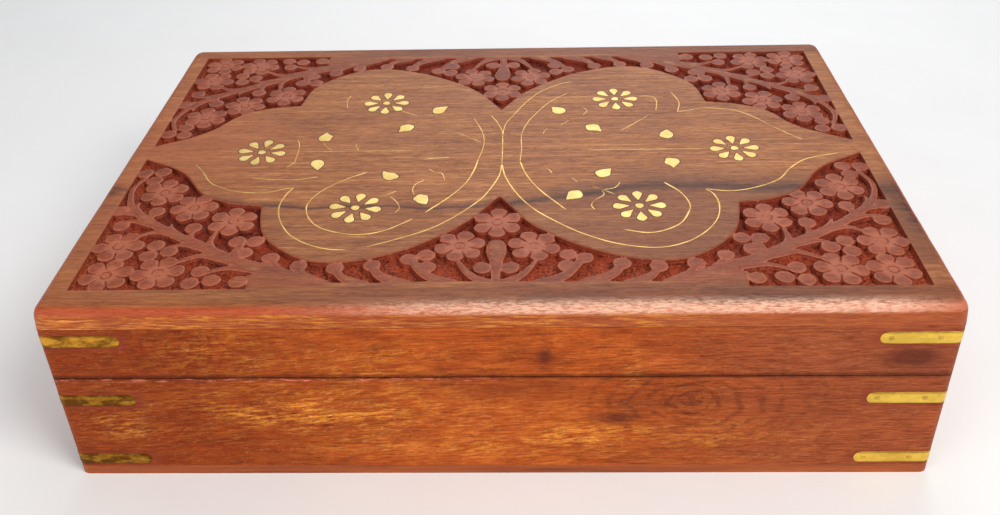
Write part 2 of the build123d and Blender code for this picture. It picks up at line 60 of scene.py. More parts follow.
# --- Sizes taken from the frame ---
top_low, top_high = box_mm("lid_top_panel")
half_width, half_depth = top_high[0], top_high[1]
top_z = top_high[2]
top_underside = top_low[2]
base_top = box_mm("base_front_board")[1][2]
lid_bottom = box_mm("lid_front_board")[0][2]
seam_z = (base_top + lid_bottom) / 2
strap_levels = {
    level: sum(z[2] for z in box_mm(f"strap_{level}_front_left")) / 2 for level in ("bottom", "middle", "lid")
}
strap_leg = box_mm("strap_lid_front_left")[1][0] + half_width
strap_half_width = 2.6
strap_depth = 0.7
frame_radius = 3.0
top_corner_radius = 5.0
top_round = 4.5
border_side = 9.2
border_front = 10.6
field_x = half_width - border_side
field_y = half_depth - border_front
relief_below = 0.16

# --- Camera ---
camera_data = bpy.data.cameras.new("camera")
camera = bpy.data.objects.new("camera", camera_data)
bpy.context.collection.objects.link(camera)
camera_data.sensor_width = 36.0
camera_data.lens = 36.55
camera_data.shift_y = -0.0767
turn = (
    Matrix.Rotation(math.radians(-1.02), 4, "Z")
    @ Matrix.Rotation(math.radians(58.11), 4, "X")
    @ Matrix.Rotation(math.radians(2.39), 4, "Y")
)
camera.matrix_world = Matrix.Translation(Vector((10.7, -356.7, 282.6)) * MM) @ turn
bpy.context.scene.camera = camera


# --- Node trees ---
def srgb(red, green, blue):
    """A colour given in the usual 0 to 255, as the linear colour that shaders use."""
    steps = [value / 255 for value in (red, green, blue)]
    return [v / 12.92 if v <= 0.04045 else ((v + 0.055) / 1.055) ** 2.4 for v in steps] + [1.0]


class Field:
    """A number that varies over a surface. Arithmetic on it adds Math nodes."""

    def __init__(self, tree, socket):
        self.tree = tree
        self.socket = socket

    def math(self, operation, *others):
        node = self.tree.add("ShaderNodeMath", operation=operation)
        for slot, value in zip(node.inputs, (self, *others)):
            self.tree.feed(slot, value)
        return Field(self.tree, node.outputs[0])

    def __add__(self, other):
        return self.math("ADD", other)

    def __sub__(self, other):
        return self.math("SUBTRACT", other)

    def __mul__(self, other):
        return self.math("MULTIPLY", other)

    def __truediv__(self, other):
        return self.math("DIVIDE", other)

    __radd__ = __add__
    __rmul__ = __mul__

    def __rsub__(self, other):
        return (self * -1.0) + other

    def __abs__(self):
        return self.math("ABSOLUTE")

    def capped(self, most):
        return self.math("MINIMUM", most)

    def band(self, middle, reach, power=2):
        """1 at the middle, falling off on both sides over reach; a higher power has a flatter top."""
        away = ((self - middle) / reach).math("ABSOLUTE").math("POWER", float(power))
        return (away * -1.0).math("EXPONENT")

    def step(self, low, high):
        """Rises smoothly from 0 at low to 1 at high; it falls where low is above high."""
        node = self.tree.add("ShaderNodeMapRange", interpolation_type="SMOOTHSTEP")
        flip = low > high
        ends = (high, low, 1.0, 0.0) if flip else (low, high, 0.0, 1.0)
        for slot, value in zip(node.inputs, (self, *ends)):
            self.tree.feed(slot, value)
        return Field(self.tree, node.outputs[0])


class Tree:
    """One material. Each method adds a node and gives back its output."""

    def __init__(self, name):
        self.material = bpy.data.materials.new(name)
        self.material.use_nodes = True
        self.nodes = self.material.node_tree.nodes
        self.links = self.material.node_tree.links
        self.nodes.clear()
        self.shader = self.add("ShaderNodeBsdfPrincipled")
        output = self.add("ShaderNodeOutputMaterial")
        self.links.new(self.shader.outputs[0], output.inputs["Surface"])
        place = self.add("ShaderNodeTexCoord").outputs["Object"]
        to_mm = self.add("ShaderNodeVectorMath", operation="SCALE")
        self.links.new(place, to_mm.inputs[0])
        to_mm.inputs["Scale"].default_value = 1 / MM
        parts = self.add("ShaderNodeSeparateXYZ")
        self.links.new(to_mm.outputs[0], parts.inputs[0])
        self.x, self.y, self.z = (Field(self, socket) for socket in parts.outputs)

    def add(self, kind, **settings):
        node = self.nodes.new(kind)
        for key, value in settings.items():
            setattr(node, key, value)
        return node

    def feed(self, slot, value):
        """Links or sets a socket; a colour is a tuple in the usual 0 to 255."""
        if isinstance(value, Field):
            self.links.new(value.socket, slot)
        elif isinstance(value, bpy.types.NodeSocket):
            self.links.new(value, slot)
        elif isinstance(value, tuple):
            slot.default_value = srgb(*value)
        else:
            slot.default_value = value

    def vector(self, x, y, z):
        node = self.add("ShaderNodeCombineXYZ")
        for slot, value in zip(node.inputs, (x, y, z)):
            self.feed(slot, value)
        return node.outputs[0]

    def noise(self, x, y, z, detail=3.0, roughness=0.5, distortion=0.0):
        """Noise from 0 to 1 with features about one unit across."""
        node = self.add("ShaderNodeTexNoise")
        self.feed(node.inputs["Vector"], self.vector(x, y, z))
        node.inputs["Scale"].default_value = 1.0
        node.inputs["Detail"].default_value = detail
        node.inputs["Roughness"].default_value = roughness
        node.inputs["Distortion"].default_value = distortion
        return Field(self, node.outputs[0])

    def spot(self, across, along, centre, reach):
        """1 at a centre, falling off round it over reach, which is a pair."""
        a = (across - centre[0]) / reach[0]
        b = (along - centre[1]) / reach[1]
        return (a * a + b * b).math("MULTIPLY", -1.0).math("EXPONENT")

    def spots(self, across, along, places):
        """Several spots added up, each a centre, a reach and a weight."""
        return sum(self.spot(across, along, centre, reach) * weight for centre, reach, weight in places)

    def curve(self, value, points, low, high):
        """A number that runs through points as value does; low and high are the ends of both scales."""
        node = self.add("ShaderNodeFloatCurve")
        line = node.mapping.curves[0]
        while len(line.points) < len(points):
            line.points.new(0.5, 0.5)
        for point, (place, height) in zip(line.points, points):
            point.location = ((place - low) / (high - low), (height - low) / (high - low))
        node.mapping.update()
        self.feed(node.inputs["Value"], (value - low) / (high - low))
        return Field(self, node.outputs[0]) * (high - low) + low

    def ramp(self, value, stops):
        """A colour that runs through stops, each a place from 0 to 1 and a colour."""
        node = self.add("ShaderNodeValToRGB")
        elements = node.color_ramp.elements
        while len(elements) < len(stops):
            elements.new(0.5)
        for element, (place, colour) in zip(elements, stops):
            element.position = place
            element.color = srgb(*colour)
        self.feed(node.inputs[0], value)
        return node.outputs[0]

    def mix(self, share, first, second, blend="MIX"):
        node = self.add("ShaderNodeMix", data_type="RGBA", blend_type=blend)
        self.feed(node.inputs[0], share)
        self.feed(node.inputs[6], first)
        self.feed(node.inputs[7], second)
        return node.outputs[2]

    def bump(self, height, distance_mm, strength=1.0):
        """Raises the surface by height, where 1 is distance_mm."""
        node = self.add("ShaderNodeBump")
        node.inputs["Strength"].default_value = strength
        node.inputs["Distance"].default_value = distance_mm * MM
        self.feed(node.inputs["Height"], height)
        self.links.new(node.outputs[0], self.shader.inputs["Normal"])

    def surface(self, **values):
        """Sets the shader's sockets by name, with underscores for spaces."""
        for key, value in values.items():
            self.feed(self.shader.inputs[key.replace("_", " ")], value)
        return self.material


# --- Woods ---
def fibres(tree, along, across, depth, seed, length=28.0):
    """Fine long fibres of a plank, 0 to 1."""
    return tree.noise(along / length + seed, across * 1.1, depth * 1.1, detail=5.0, roughness=0.66)


def pores(tree, along, across, depth, seed):
    """Short dark pores along the grain, 1 inside a pore."""
    raw = tree.noise(along * 0.3 + seed, across * 3.4, depth * 3.4, detail=2.0, roughness=0.6)
    return raw.step(0.6, 0.7)


def knot_lines(tree, along, across, centre, squeeze, spacing, reach, seed):
    """Thin uneven lines round a knot, fading with distance from it."""
    a = (along - centre[0]) / squeeze
    b = across - centre[1]
    wobble = tree.noise(along * 0.07 + seed, across * 0.1, seed, detail=3.0, roughness=0.55)
    away = (a * a + b * b).math("SQRT") + (wobble - 0.5) * 7.0
    waves = (away / spacing * (2 * math.pi)).math("SINE") * 0.5 + 0.5
    broken = tree.noise(along * 0.2, across * 0.3, seed + 4.0, detail=3.0).step(0.32, 0.6)
    return waves.step(0.6, 1.0) * broken * away.band(0.0, reach)


def case_wood(name, along_x=True, seed=0.0):
    """The oiled red-brown rosewood of the frame boards, with golden figure, a knot and stains."""
    tree = Tree(name)
    along, side = (tree.x, tree.y) if along_x else (tree.y, tree.x)
    z = tree.z
    reach = half_depth if along_x else half_width
    outer = abs(side).step(reach - 1.2, reach - 0.4)
    fine = fibres(tree, along, z, side, 7.0 + seed)
    thin = tree.noise(along * 0.09 + seed, z * 1.3, side * 1.3, detail=5.0, roughness=0.75).step(0.3, 0.7)
    cloud = tree.noise(along * 0.016 + seed, z * 0.05, side * 0.02, detail=5.0, roughness=0.62, distortion=0.8)
    mottle = tree.noise(along * 0.07 + seed, z * 0.16, side * 0.1, detail=6.0, roughness=0.72, distortion=0.5)
    tone = cloud * 0.55 + fine * 0.42 + mottle * 0.75 + thin * 0.32 - 0.52
    wood = tree.ramp(tone, [
        (0.16, (92, 30, 6)), (0.4, (150, 62, 16)), (0.6, (180, 80, 26)), (0.85, (214, 112, 46)),
    ])
    # Darker and more saturated towards the left end: partly the wood's own tone, partly painted shade.
    left = along.step(-20, -120)
    right = along.step(30, 115)
    wood = tree.mix(left * 0.8, wood, tree.mix(thin * 0.4 + mottle * 0.6, (70, 14, 0), (152, 52, 0)))
    # Paler and pinker towards the right end, more so higher up: painted reflection.
    muted = right * (mottle * 0.5 + 0.35 + z.step(44, 50) * 0.2)
    wood = tree.mix(muted, wood, tree.mix(thin, (112, 46, 28), (168, 88, 56)))

    across = z - along * 0.12 + (cloud - 0.5) * 8.0
    flecks = tree.noise(along * 0.14 + seed, across * 0.9, side * 0.9, detail=6.0, roughness=0.8)
    flecks = flecks.step(0.42, 0.64)
    patches = tree.noise(along * 0.05 + seed, z * 0.13, 3.0 + seed, detail=5.0, roughness=0.7).step(0.36, 0.6)
    gold = tree.spots(along, z, [
        ((-58, 31), (42, 9), 1.5), ((-20, 14), (40, 7), 0.6), ((26, 19), (26, 11), 1.0),
        ((-134, 24), (14, 7), 0.6), ((-90, 58), (20, 8), 0.6), ((-40, 52), (22, 7), 0.7),
        ((46, 50), (4, 7), 0.8), ((84, 18), (24, 9), 0.5),
    ])
    gold = (flecks * (patches * 0.8 + 0.2) * (gold + 0.14)).capped(1.0)
    wood = tree.mix(gold * 0.85, wood, (238, 152, 54))
    glint = tree.noise(along * 0.45 + seed, across * 2.2, side * 2.2, detail=4.0, roughness=0.8)
    glint = glint.step(0.54, 0.68)
    wood = tree.mix(glint * (gold * 0.6 + 0.1), wood, (252, 206, 146))

    lines = knot_lines(tree, along, z, (66, 36), 1.15, 2.8, 10.0, 1.0 + seed)
    lines = lines + knot_lines(tree, along, z, (68, 34), 1.6, 4.4, 27.0, 2.0 + seed) * 0.8
    lines = lines + knot_lines(tree, along, z, (-106, 60), 1.1, 3.2, 19.0, 5.0 + seed) * 0.7
    wood = tree.mix(lines.capped(1.0) * 0.56, wood, (76, 24, 10))
    stain = tree.spots(along, z, [
        ((66, 37), (8, 7), 0.2), ((46, 33), (9, 6), 0.35), ((16, 55), (2.6, 4.2), 0.9),
        ((137, 54), (9, 4.5), 0.6),
    ])
    blotch = tree.spots(along, z, [
        ((137, 54), (9, 4.5), 0.6), ((40, 27), (9, 2.6), 0.9), ((112, 34), (34, 8), 0.4),
        ((5, 41), (26, 5), 0.5),
    ])
    stain = stain + blotch * mottle.step(0.35, 0.6)
    wood = tree.mix(stain.capped(0.8) * outer, wood, (88, 34, 20))

    level = sum(z.band(height, 4.0, 6) for height in strap_levels.values())
    far = half_width if along_x else half_depth
    end = abs(along).step(far - strap_leg - 3.5, far - strap_leg - 1.0) * outer
    paint = tree.mix(mottle, (98, 30, 14), (164, 72, 48))
    wood = tree.mix(level.capped(1.0) * end * 0.6, wood, paint)
    pits = pores(tree, along, z, side, 1.0 + seed)
    wood = tree.mix(pits * 0.45, wood, (78, 26, 8))

    ragged = tree.noise(along * 0.35 + seed, 1.0, 2.0, detail=4.0, roughness=0.7)
    dark_edge = z.band(seam_z + 0.2, 1.1, 4) * (ragged * 0.8 + 0.2) * outer
    wood = tree.mix(dark_edge, wood, (62, 16, 6))
    chip = tree.noise(along * 0.16 + seed, z * 1.1, 6.0, detail=4.0, roughness=0.7).step(0.5, 0.58)
    chip = chip * z.band(seam_z - 1.1, 0.8, 4) * along.step(12, -12) * outer
    wood = tree.mix(chip * 0.9, wood, (226, 124, 94))
    tree.bump(fine * 0.5 + thin * 0.3 - pits * 0.7 - chip * 1.5, 0.12)
    return tree.surface(
        Base_Color=wood, Roughness=fine * 0.2 + mottle * 0.15 + 0.3, Specular_IOR_Level=0.1,
    )


def carved_wood():
    """The top board: tan middle shape, red-brown relief, a dark gouged ground and a rounded edge."""
    tree = Tree("carved_rosewood")
    x, y = tree.x, tree.y
    drop = tree.z * -1.0 + top_z
    fine = fibres(tree, x, y, tree.z, 2.0, 34.0)
    thin = tree.noise(x * 0.08, y * 1.1, tree.z * 1.1, detail=5.0, roughness=0.75).step(0.3, 0.7)
    streak = tree.noise(x * 0.012 + 3.0, y * 0.3, 1.0, detail=6.0, roughness=0.66, distortion=0.3)
    cloud = tree.noise(x * 0.02, y * 0.045, 2.0, detail=4.0, roughness=0.6)
    mottle = tree.noise(x * 0.09, y * 0.14, tree.z * 0.1, detail=5.0, roughness=0.68, distortion=0.8)
    pits = pores(tree, x, y, tree.z, 5.0)
    curl = tree.noise(x * 0.2, y * 0.75, 7.0, detail=6.0, roughness=0.75, distortion=0.6)
    tone = streak * 0.6 + fine * 0.42 + thin * 0.3 + cloud * 0.35 + curl * 0.75 - 0.73
    tan = tree.ramp(tone, [
        (0.1, (92, 44, 22)), (0.38, (144, 84, 46)),
        (0.6, (174, 109, 60)), (0.9, (214, 156, 92)),
    ])

    inside = abs(x).step(field_x + 0.4, field_x - 0.2) * abs(y).step(field_y + 0.4, field_y - 0.2)
    outside = inside * -1.0 + 1.0

    run = tree.curve(x, [
        (-150, -26), (-128, -32), (-105, -37), (-85, -41), (-50, -42), (-10, -42), (15, -38.5), (40, -32),
        (60, -28), (90, -30), (150, -33),
    ], -160, 160)
    meander = tree.noise(x * 0.06, y * 0.02, 4.0, detail=4.0, roughness=0.6)
    away = y - run + (meander - 0.5) * 7.0
    growth = x.step(-20, 60)
    core = (away / (growth * 2.2 + 0.9)).band(0.0, 1.0)
    smoke = (away / (growth * 5.0 + 2.0)).band(0.6, 1.0) * streak.step(0.3, 0.6)
    dusk = away.step(1.0, -4.0) * y.step(-88, -70) * (growth * 0.34 + 0.2)
    tan = tree.mix(dusk, tan, (112, 62, 44))
    tan = tree.mix(smoke * 0.55, tan, (92, 52, 42))
    tan = tree.mix(core * (streak.step(0.25, 0.5) * 0.4 + 0.4), tan, (62, 34, 30))
    warm = x.step(-70, -150) * 0.3 + tree.spot(x, y, (-120, 10), (40, 30)) * 0.25
    tan = tree.mix(warm, tan, (178, 100, 68))
    front_edge = abs(y).step(field_y - 4.0, field_y + 0.5) * (x.step(-110, -40) * 0.5 + 0.25)
    tan = tree.mix(front_edge, tan, tree.mix(thin * 0.6 + streak * 0.4, (80, 34, 18), (152, 82, 50)))

    crumbs = tree.noise(x * 1.1, y * 1.1, tree.z * 1.1, detail=5.0, roughness=0.75)
    grit = crumbs.step(0.38, 0.62)
    dusty = tree.mix(mottle * 0.4 + thin * 0.3 + grit * 0.3, (96, 34, 18), (184, 94, 60))
    smut = tree.noise(x * 0.035 + 2.0, y * 0.08, 5.0, detail=5.0, roughness=0.7).step(0.44, 0.64)
    dusty = tree.mix(smut * 0.4, dusty, (96, 52, 36))
    shade = x.step(-100, 30) * 0.5 + y.step(-60, 20) * 0.5
    dusty = tree.mix(shade * 0.42, dusty, (92, 34, 22))
    # The walls and the gouged ground are darker the deeper they lie: partly the wood's dark stain, partly
    # painted shade in the recesses.
    red = tree.mix(mottle, (100, 30, 14), (150, 58, 30))
    ground = tree.mix(mottle.step(0.3, 0.7) * 0.5 + grit * 0.5, (50, 9, 4), (160, 56, 30))
    glow = (abs(x).step(field_x - 22, field_x) * 0.6 + y.step(-50, -88) * 0.6) * grit
    ground = tree.mix(glow.capped(0.8), ground, (200, 94, 52))
    root = abs(x).band(74.0, 17.0, 4) * abs(y).step(field_y - 10.0, field_y - 5.5)
    root = root * (1.0 - abs(y).step(field_y - 2.4, field_y))
    lowered = drop.step(0.04, 0.14) * (1.0 - root) + root * 0.7
    relief = tree.mix(lowered * inside, tan, dusty)
    # Painted highlight: a paler band along the rolled edges of the petals, stems and other raised shapes.
    relief = tree.mix(drop.band(relief_below + 0.14, 0.09) * inside * 0.45, relief, (204, 120, 88))
    relief = tree.mix(drop.step(0.36, 0.7) * inside, relief, red)
    wood = tree.mix(drop.step(0.8, 1.7) * inside, relief, ground)

    stain = mottle.step(0.3, 0.55) * streak.step(0.3, 0.6)
    blot = tree.spots(x, y, [
        ((84, -97), (34, 5), 1.0), ((150, -48), (6, 18), 1.0), ((20, -98), (26, 4), 0.7),
        ((-152, -30), (6, 3.5), 1.2),
    ])
    wood = tree.mix((blot * stain).capped(0.85), wood, (66, 34, 28))

    ember = drop.step(0.25, 1.2) * outside
    edge = tree.mix(mottle * 0.6 + thin * 0.4, (138, 46, 14), (202, 94, 50))
    # Painted highlight: a pinkish glare on the front of the rounded edge, towards the right.
    edge = tree.mix(x.step(-20, 50) * y.step(-94, -98) * 0.4, edge, (216, 132, 96))
    wood = tree.mix(ember, wood, edge)
    lower = (drop + (mottle - 0.5) * 2.4).step(2.5, 3.3) * outside
    amber = tree.mix(thin * 0.6 + mottle * 0.4, (120, 42, 8), (178, 82, 28))
    wood = tree.mix(lower * 0.85, wood, amber)
    flame = tree.noise(x * 0.1, tree.z * 1.3, y * 0.4, detail=6.0, roughness=0.78).step(0.44, 0.64)
    spread = tree.noise(x * 0.03, 3.0, y * 0.03, detail=4.0, roughness=0.6).step(0.34, 0.6)
    flame = flame * lower * (spread * 0.7 + 0.3) * (x.step(120, 30) * 0.75 + 0.2)
    flame = flame * abs(y).step(half_depth - 5.0, half_depth - 3.0)
    wood = tree.mix(flame * 0.95, wood, (232, 148, 58))
    gleam = tree.noise(x * 0.35, tree.z * 1.6, y * 1.6, detail=6.0, roughness=0.75)
    gleam = gleam.step(0.34, 0.64) * 0.95 + 0.15
    shine = tree.spot(x, y, (-4, -101), (40, 9)) * 0.9 + x.step(-10, 60) * x.step(156, 120)
    gleam = gleam * drop.band(1.5, 1.6, 4) * y.step(-95, -99) * shine
    wood = tree.mix(gleam.capped(0.85), wood, (242, 192, 164))
    wood = tree.mix(pits * 0.3, wood, (80, 40, 24))

    rough = drop.step(0.8, 1.7) * inside
    tree.bump(fine * 0.35 + thin * 0.3 - pits * 0.6 + crumbs * (rough * 3.0 + ember * 0.7), 0.14)
    return tree.surface(
        Base_Color=wood, Roughness=fine * 0.2 + rough * 0.25 - ember * 0.08 + 0.36,
        Specular_IOR_Level=0.24,
    )


def plain_wood(name, dark, light, along_x=True):
    """Plainer wood, for the bottom panel and the dividers."""
    tree = Tree(name)
    along, side = (tree.x, tree.y) if along_x else (tree.y, tree.x)
    fine = fibres(tree, along, side, tree.z, 4.0)
    streak = tree.noise(along * 0.012, side * 0.12, tree.z * 0.2, detail=5.0, roughness=0.62, distortion=0.4)
    pits = pores(tree, along, side, tree.z, 3.0)
    wood = tree.ramp(streak * 0.6 + fine * 0.5 - 0.05, [(0.25, dark), (0.75, light)])
    wood = tree.mix(pits * 0.35, wood, dark)
    tree.bump(fine - pits, 0.08)
    return tree.surface(Base_Color=wood, Roughness=fine * 0.2 + 0.4, Specular_IOR_Level=0.3)


# --- Metals and cloth ---
def brass(name, bright, muted, tarnish, roughness, left_tarnish_and_shade=0.0, edges=(), metallic=1.0):
    """Hand-rubbed brass with tarnish, fine scratches and, at the heights in edges, a darker line."""
    tree = Tree(name)
    patch = tree.noise(tree.x * 0.13, tree.y * 0.13, tree.z * 0.3, detail=5.0, roughness=0.65)
    scratch = tree.noise(tree.x * 0.6, tree.y * 0.6, tree.z * 7.0, detail=3.0, roughness=0.7)
    speck = tree.noise(tree.x * 1.6, tree.y * 1.6, tree.z * 1.6, detail=3.0, roughness=0.6).step(0.6, 0.72)
    # Towards the left end, by the share given for it, the brass is darker, more orange and rougher, more so
    # lower down: partly tarnish, partly painted shade.
    old = tree.x.step(-90, -120) * left_tarnish_and_shade
    tarnish_and_shade = patch.step(0.36, 0.66) * (old + tarnish) + old * (tree.z.step(60, 50) * 0.7 + 0.2)
    colour = tree.mix(old, bright, (222, 138, 26))
    colour = tree.mix(tarnish_and_shade.capped(1.0), colour, muted)
    colour = tree.mix(speck * (old + 0.35), colour, (96, 58, 18))
    if edges:
        # A darker line at each height in edges, along the edges of a strap.
        edge_line = sum(tree.z.band(height, 0.5, 2) for height in edges)
        colour = tree.mix(edge_line * (patch * 0.5 + 0.35), colour, (92, 56, 18))
    tree.bump(scratch * 0.7 - speck * 0.5, 0.03)
    return tree.surface(
        Base_Color=colour, Metallic=metallic,
        Roughness=patch * 0.2 + scratch * 0.14 + old * 0.12 + (roughness - 0.12),
    )


def velvet():
    """Dark red velvet with a soft pile."""
    tree = Tree("velvet")
    pile = tree.noise(tree.x * 2.5, tree.y * 2.5, tree.z * 2.5, detail=3.0, roughness=0.7)
    crush = tree.noise(tree.x * 0.06, tree.y * 0.06, tree.z * 0.06, detail=4.0, roughness=0.6, distortion=1.0)
    colour = tree.mix(crush * 0.8 + pile * 0.3 - 0.05, (58, 3, 10), (150, 16, 34))
    tree.bump(pile * 0.6 + crush * 0.8, 0.2)
    return tree.surface(
        Base_Color=colour, Roughness=0.9, Specular_IOR_Level=0.15, Sheen_Weight=0.7, Sheen_Roughness=0.35,
        Sheen_Tint=(226, 96, 108),
    )


def gum_and_shade_material():
    """Dark rim round the inlay: partly the gum that it is set in, partly painted shade at the plates' edges."""
    tree = Tree("inlay_gum_and_shade")
    grit = tree.noise(tree.x * 1.2, tree.y * 1.2, tree.z, detail=3.0)
    return tree.surface(Base_Color=tree.mix(grit, (58, 26, 18), (96, 50, 30)), Roughness=0.6)


front_wood = case_wood("case_rosewood")
back_wood = case_wood("back_rosewood", seed=13.0)
side_wood = case_wood("side_rosewood", along_x=False, seed=5.0)
top_wood = carved_wood()
panel_wood = plain_wood("panel_wood", (112, 42, 10), (192, 98, 40))
divider_wood = plain_wood("divider_wood", (116, 50, 24), (176, 92, 48))
inlay_brass = brass("inlay_brass", (240, 212, 132), (206, 164, 80), 0.5, 0.44, metallic=0.7)
wire_brass = brass("wire_brass", (234, 196, 118), (176, 124, 62), 0.6, 0.4)
strap_edges = [
    height + side * (strap_half_width - 0.15) for height in strap_levels.values() for side in (-1, 1)
]
strap_brass = brass(
    "strap_brass", (242, 200, 84), (108, 66, 6), 0.25, 0.36, left_tarnish_and_shade=0.6, edges=strap_edges
)
nail_brass = brass("nail_brass", (226, 180, 84), (120, 84, 36), 0.5, 0.35, 0.5)
hinge_brass = brass("hinge_brass", (232, 190, 96), (140, 100, 44), 0.4, 0.32)
screw_steel = brass("screw_steel", (190, 186, 178), (110, 104, 98), 0.5, 0.3)
gum_and_shade = gum_and_shade_material()
red_velvet = velvet()


def finish_node(node, material):
    """Gives a CAD node its material."""
    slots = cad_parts[node].data.materials
    slots.clear()
    slots.append(material)


for place in ("base", "lid"):
    finish_node(f"{place}_front_board", front_wood)
    finish_node(f"{place}_back_board", back_wood)
    for side in ("left", "right"):
        finish_node(f"{place}_{side}_board", side_wood)
    finish_node(f"{place}_strap_nails", nail_brass)
    finish_node(f"{place}_hinge_screws", screw_steel)
    for side in ("left", "right"):
        finish_node(f"hinge_{place}_leaf_{side}", hinge_brass)
for side in ("left", "right"):
    finish_node(f"hinge_pin_{side}", hinge_brass)
    finish_node(f"cross_divider_{side}", divider_wood)
finish_node("long_divider", divider_wood)
finish_node("bottom_panel", panel_wood)
finish_node("bottom_panel_nails", screw_steel)

# --- Carved relief ---
# One quarter of the pattern, measured from the lid's centre towards a side and towards the front.
flowers = [
    (133.0, 82.4, 20), (134.2, 65.8, 5), (115.8, 81.3, 12), (97.3, 50.3, 30),
    (114.0, 41.0, 8), (128.6, 30.2, 25), (12.8, 66.8, 15), (0.0, 52.6, 30),
]
buds = [
    (127.6, 43.4), (110.7, 54.0), (138.0, 52.6), (141.2, 42.4), (87.0, 86.4), (78.6, 73.2),
    (67.8, 77.9), (55.2, 79.3), (42.6, 77.6), (4.8, 79.6),
]
trefoils = [
    [(140.4, 15.8), (133.6, 15.2), (134.8, 21.6)],
    [(121.1, 65.2), (115.4, 68.8), (122.0, 71.4)],
    [(92.4, 63.2), (86.0, 63.0), (88.4, 69.8)],
    [(101.2, 80.4), (96.0, 85.6), (103.0, 87.0)],
    [(30.2, 74.4), (24.4, 72.2), (23.8, 78.8)],
]
# Each stem is its centre line, with its width at each point.
stems = [
    [(60.0, 88.0, 5.0), (70.6, 84.0, 7.0), (81.5, 79.1, 6.4), (91.1, 74.4, 5.4), (107.4, 64.1, 4.6),
     (121.8, 54.9, 4.0), (129.3, 49.1, 3.8), (136.0, 43.0, 3.2), (140.2, 35.5, 2.4), (141.6, 27.3, 2.1),
     (138.8, 19.0, 1.7)],
    [(127.2, 52.0, 3.0), (133.2, 49.8, 2.3), (138.0, 50.2, 1.8)],
    [(117.0, 58.4, 3.2), (124.5, 56.8, 2.2), (130.5, 60.5, 1.5)],
    [(105.4, 66.6, 3.4), (111.5, 64.8, 2.4), (116.5, 66.5, 1.6)],
    [(95.2, 73.4, 3.8), (103.5, 71.4, 2.6), (111.5, 75.5, 1.7)],
    [(84.2, 79.3, 4.0), (92.0, 78.6, 2.5), (98.5, 81.0, 1.7)],
    [(72.0, 83.4, 4.4), (80.8, 83.0, 3.0), (86.0, 85.6, 2.0)],
    [(134.4, 44.6, 3.0), (138.2, 44.4, 2.3), (140.8, 43.0, 1.8)],
    [(135.0, 44.0, 3.8), (136.4, 40.2, 2.1), (135.9, 36.6, 0.4)],
    [(129.6, 49.6, 3.2), (128.2, 46.4, 2.0), (127.6, 44.0, 1.6)],
    [(116.0, 58.8, 4.4), (118.6, 55.0, 2.4), (119.7, 51.6, 0.4)],
    [(110.6, 62.0, 3.6), (110.2, 58.2, 2.1), (110.7, 55.0, 1.6)],
    [(98.6, 70.0, 4.2), (102.0, 64.0, 2.6), (101.8, 56.0, 1.3)],
    [(89.0, 76.0, 4.4), (91.6, 70.6, 3.6), (90.4, 65.0, 2.5)],
    [(69.0, 84.6, 4.4), (75.4, 78.6, 3.0), (78.2, 74.4, 2.4)],
    [(57.4, 88.4, 5.0), (64.4, 83.4, 3.2), (67.6, 79.0, 2.5)],
    [(44.6, 88.6, 5.4), (51.6, 84.6, 3.4), (55.0, 80.2, 2.5)],
    [(30.2, 88.8, 5.6), (38.6, 84.0, 4.0), (42.4, 78.6, 3.0)],
    [(14.8, 89.0, 5.6), (23.6, 83.6, 4.0), (29.0, 75.6, 3.0)],
    [(1.5, 88.8, 4.6), (9.0, 83.6, 3.0), (14.6, 73.6, 1.0)],
    [(0.0, 90.6, 3.2), (0.0, 83.0, 3.2), (0.0, 76.0, 4.6), (0.0, 69.6, 7.2), (0.0, 66.4, 6.0)],
]
ledges = [(0.0, 79.0, 3.4), (66.0, 83.6, 6.6)]
cartouche_tip = [(field_x + 1, 4.6), (125.4, 16.0), (113.8, 31.2), (101.5, 38.0), (89.0, 40.2)]
cartouche_lobe = [
    (89.0, 40.2), (84.4, 59.0), (69.5, 73.2), (53.0, 76.2), (31.0, 68.4), (12.0, 53.0), (0.0, 34.8),
]
petal_radius = 3.25
petal_ring = 5.95
heart_radius = 4.2
flower_reach = 8.2
carve_depth = 2.5
grid_step = 0.5
grid_margin = 1.7


def direction(degrees):
    return np.array([math.cos(math.radians(degrees)), math.sin(math.radians(degrees))])


def to_segment(x, y, a, b):
    """How far along the line from a to b each point falls, 0 to 1, and its distance from the line."""
    run = b[:2] - a[:2]
    t = np.clip(((x - a[0]) * run[0] + (y - a[1]) * run[1]) / (run @ run), 0, 1)
    return t, np.hypot(x - a[0] - t * run[0], y - a[1] - t * run[1])


def grid_corners(index):
    """The four corners of every square of a grid of point numbers."""
    return index[:-1, :-1], index[1:, :-1], index[1:, 1:], index[:-1, 1:]


def grid_rim(index):
    """The point numbers round the outside of a grid."""
    return np.concatenate([index[:-1, 0], index[-1, :-1], index[:0:-1, -1], index[0, :0:-1]])


def smooth_path(points, steps):
    """Points along a smooth curve through the given ones, steps to each stretch."""
    p = np.asarray(points, float)
    ends = np.vstack([2 * p[0] - p[1], p, 2 * p[-1] - p[-2]])
    t = np.linspace(0, 1, steps, endpoint=False)[:, None]
    stretches = []
    for a, b, c, d in zip(ends, ends[1:], ends[2:], ends[3:]):
        bend = (2 * a - 5 * b + 4 * c - d) * t**2 + (3 * b - a - 3 * c + d) * t**3
        stretches.append(0.5 * (2 * b + (c - a) * t + bend))
    return np.vstack([*stretches, p[-1:]])


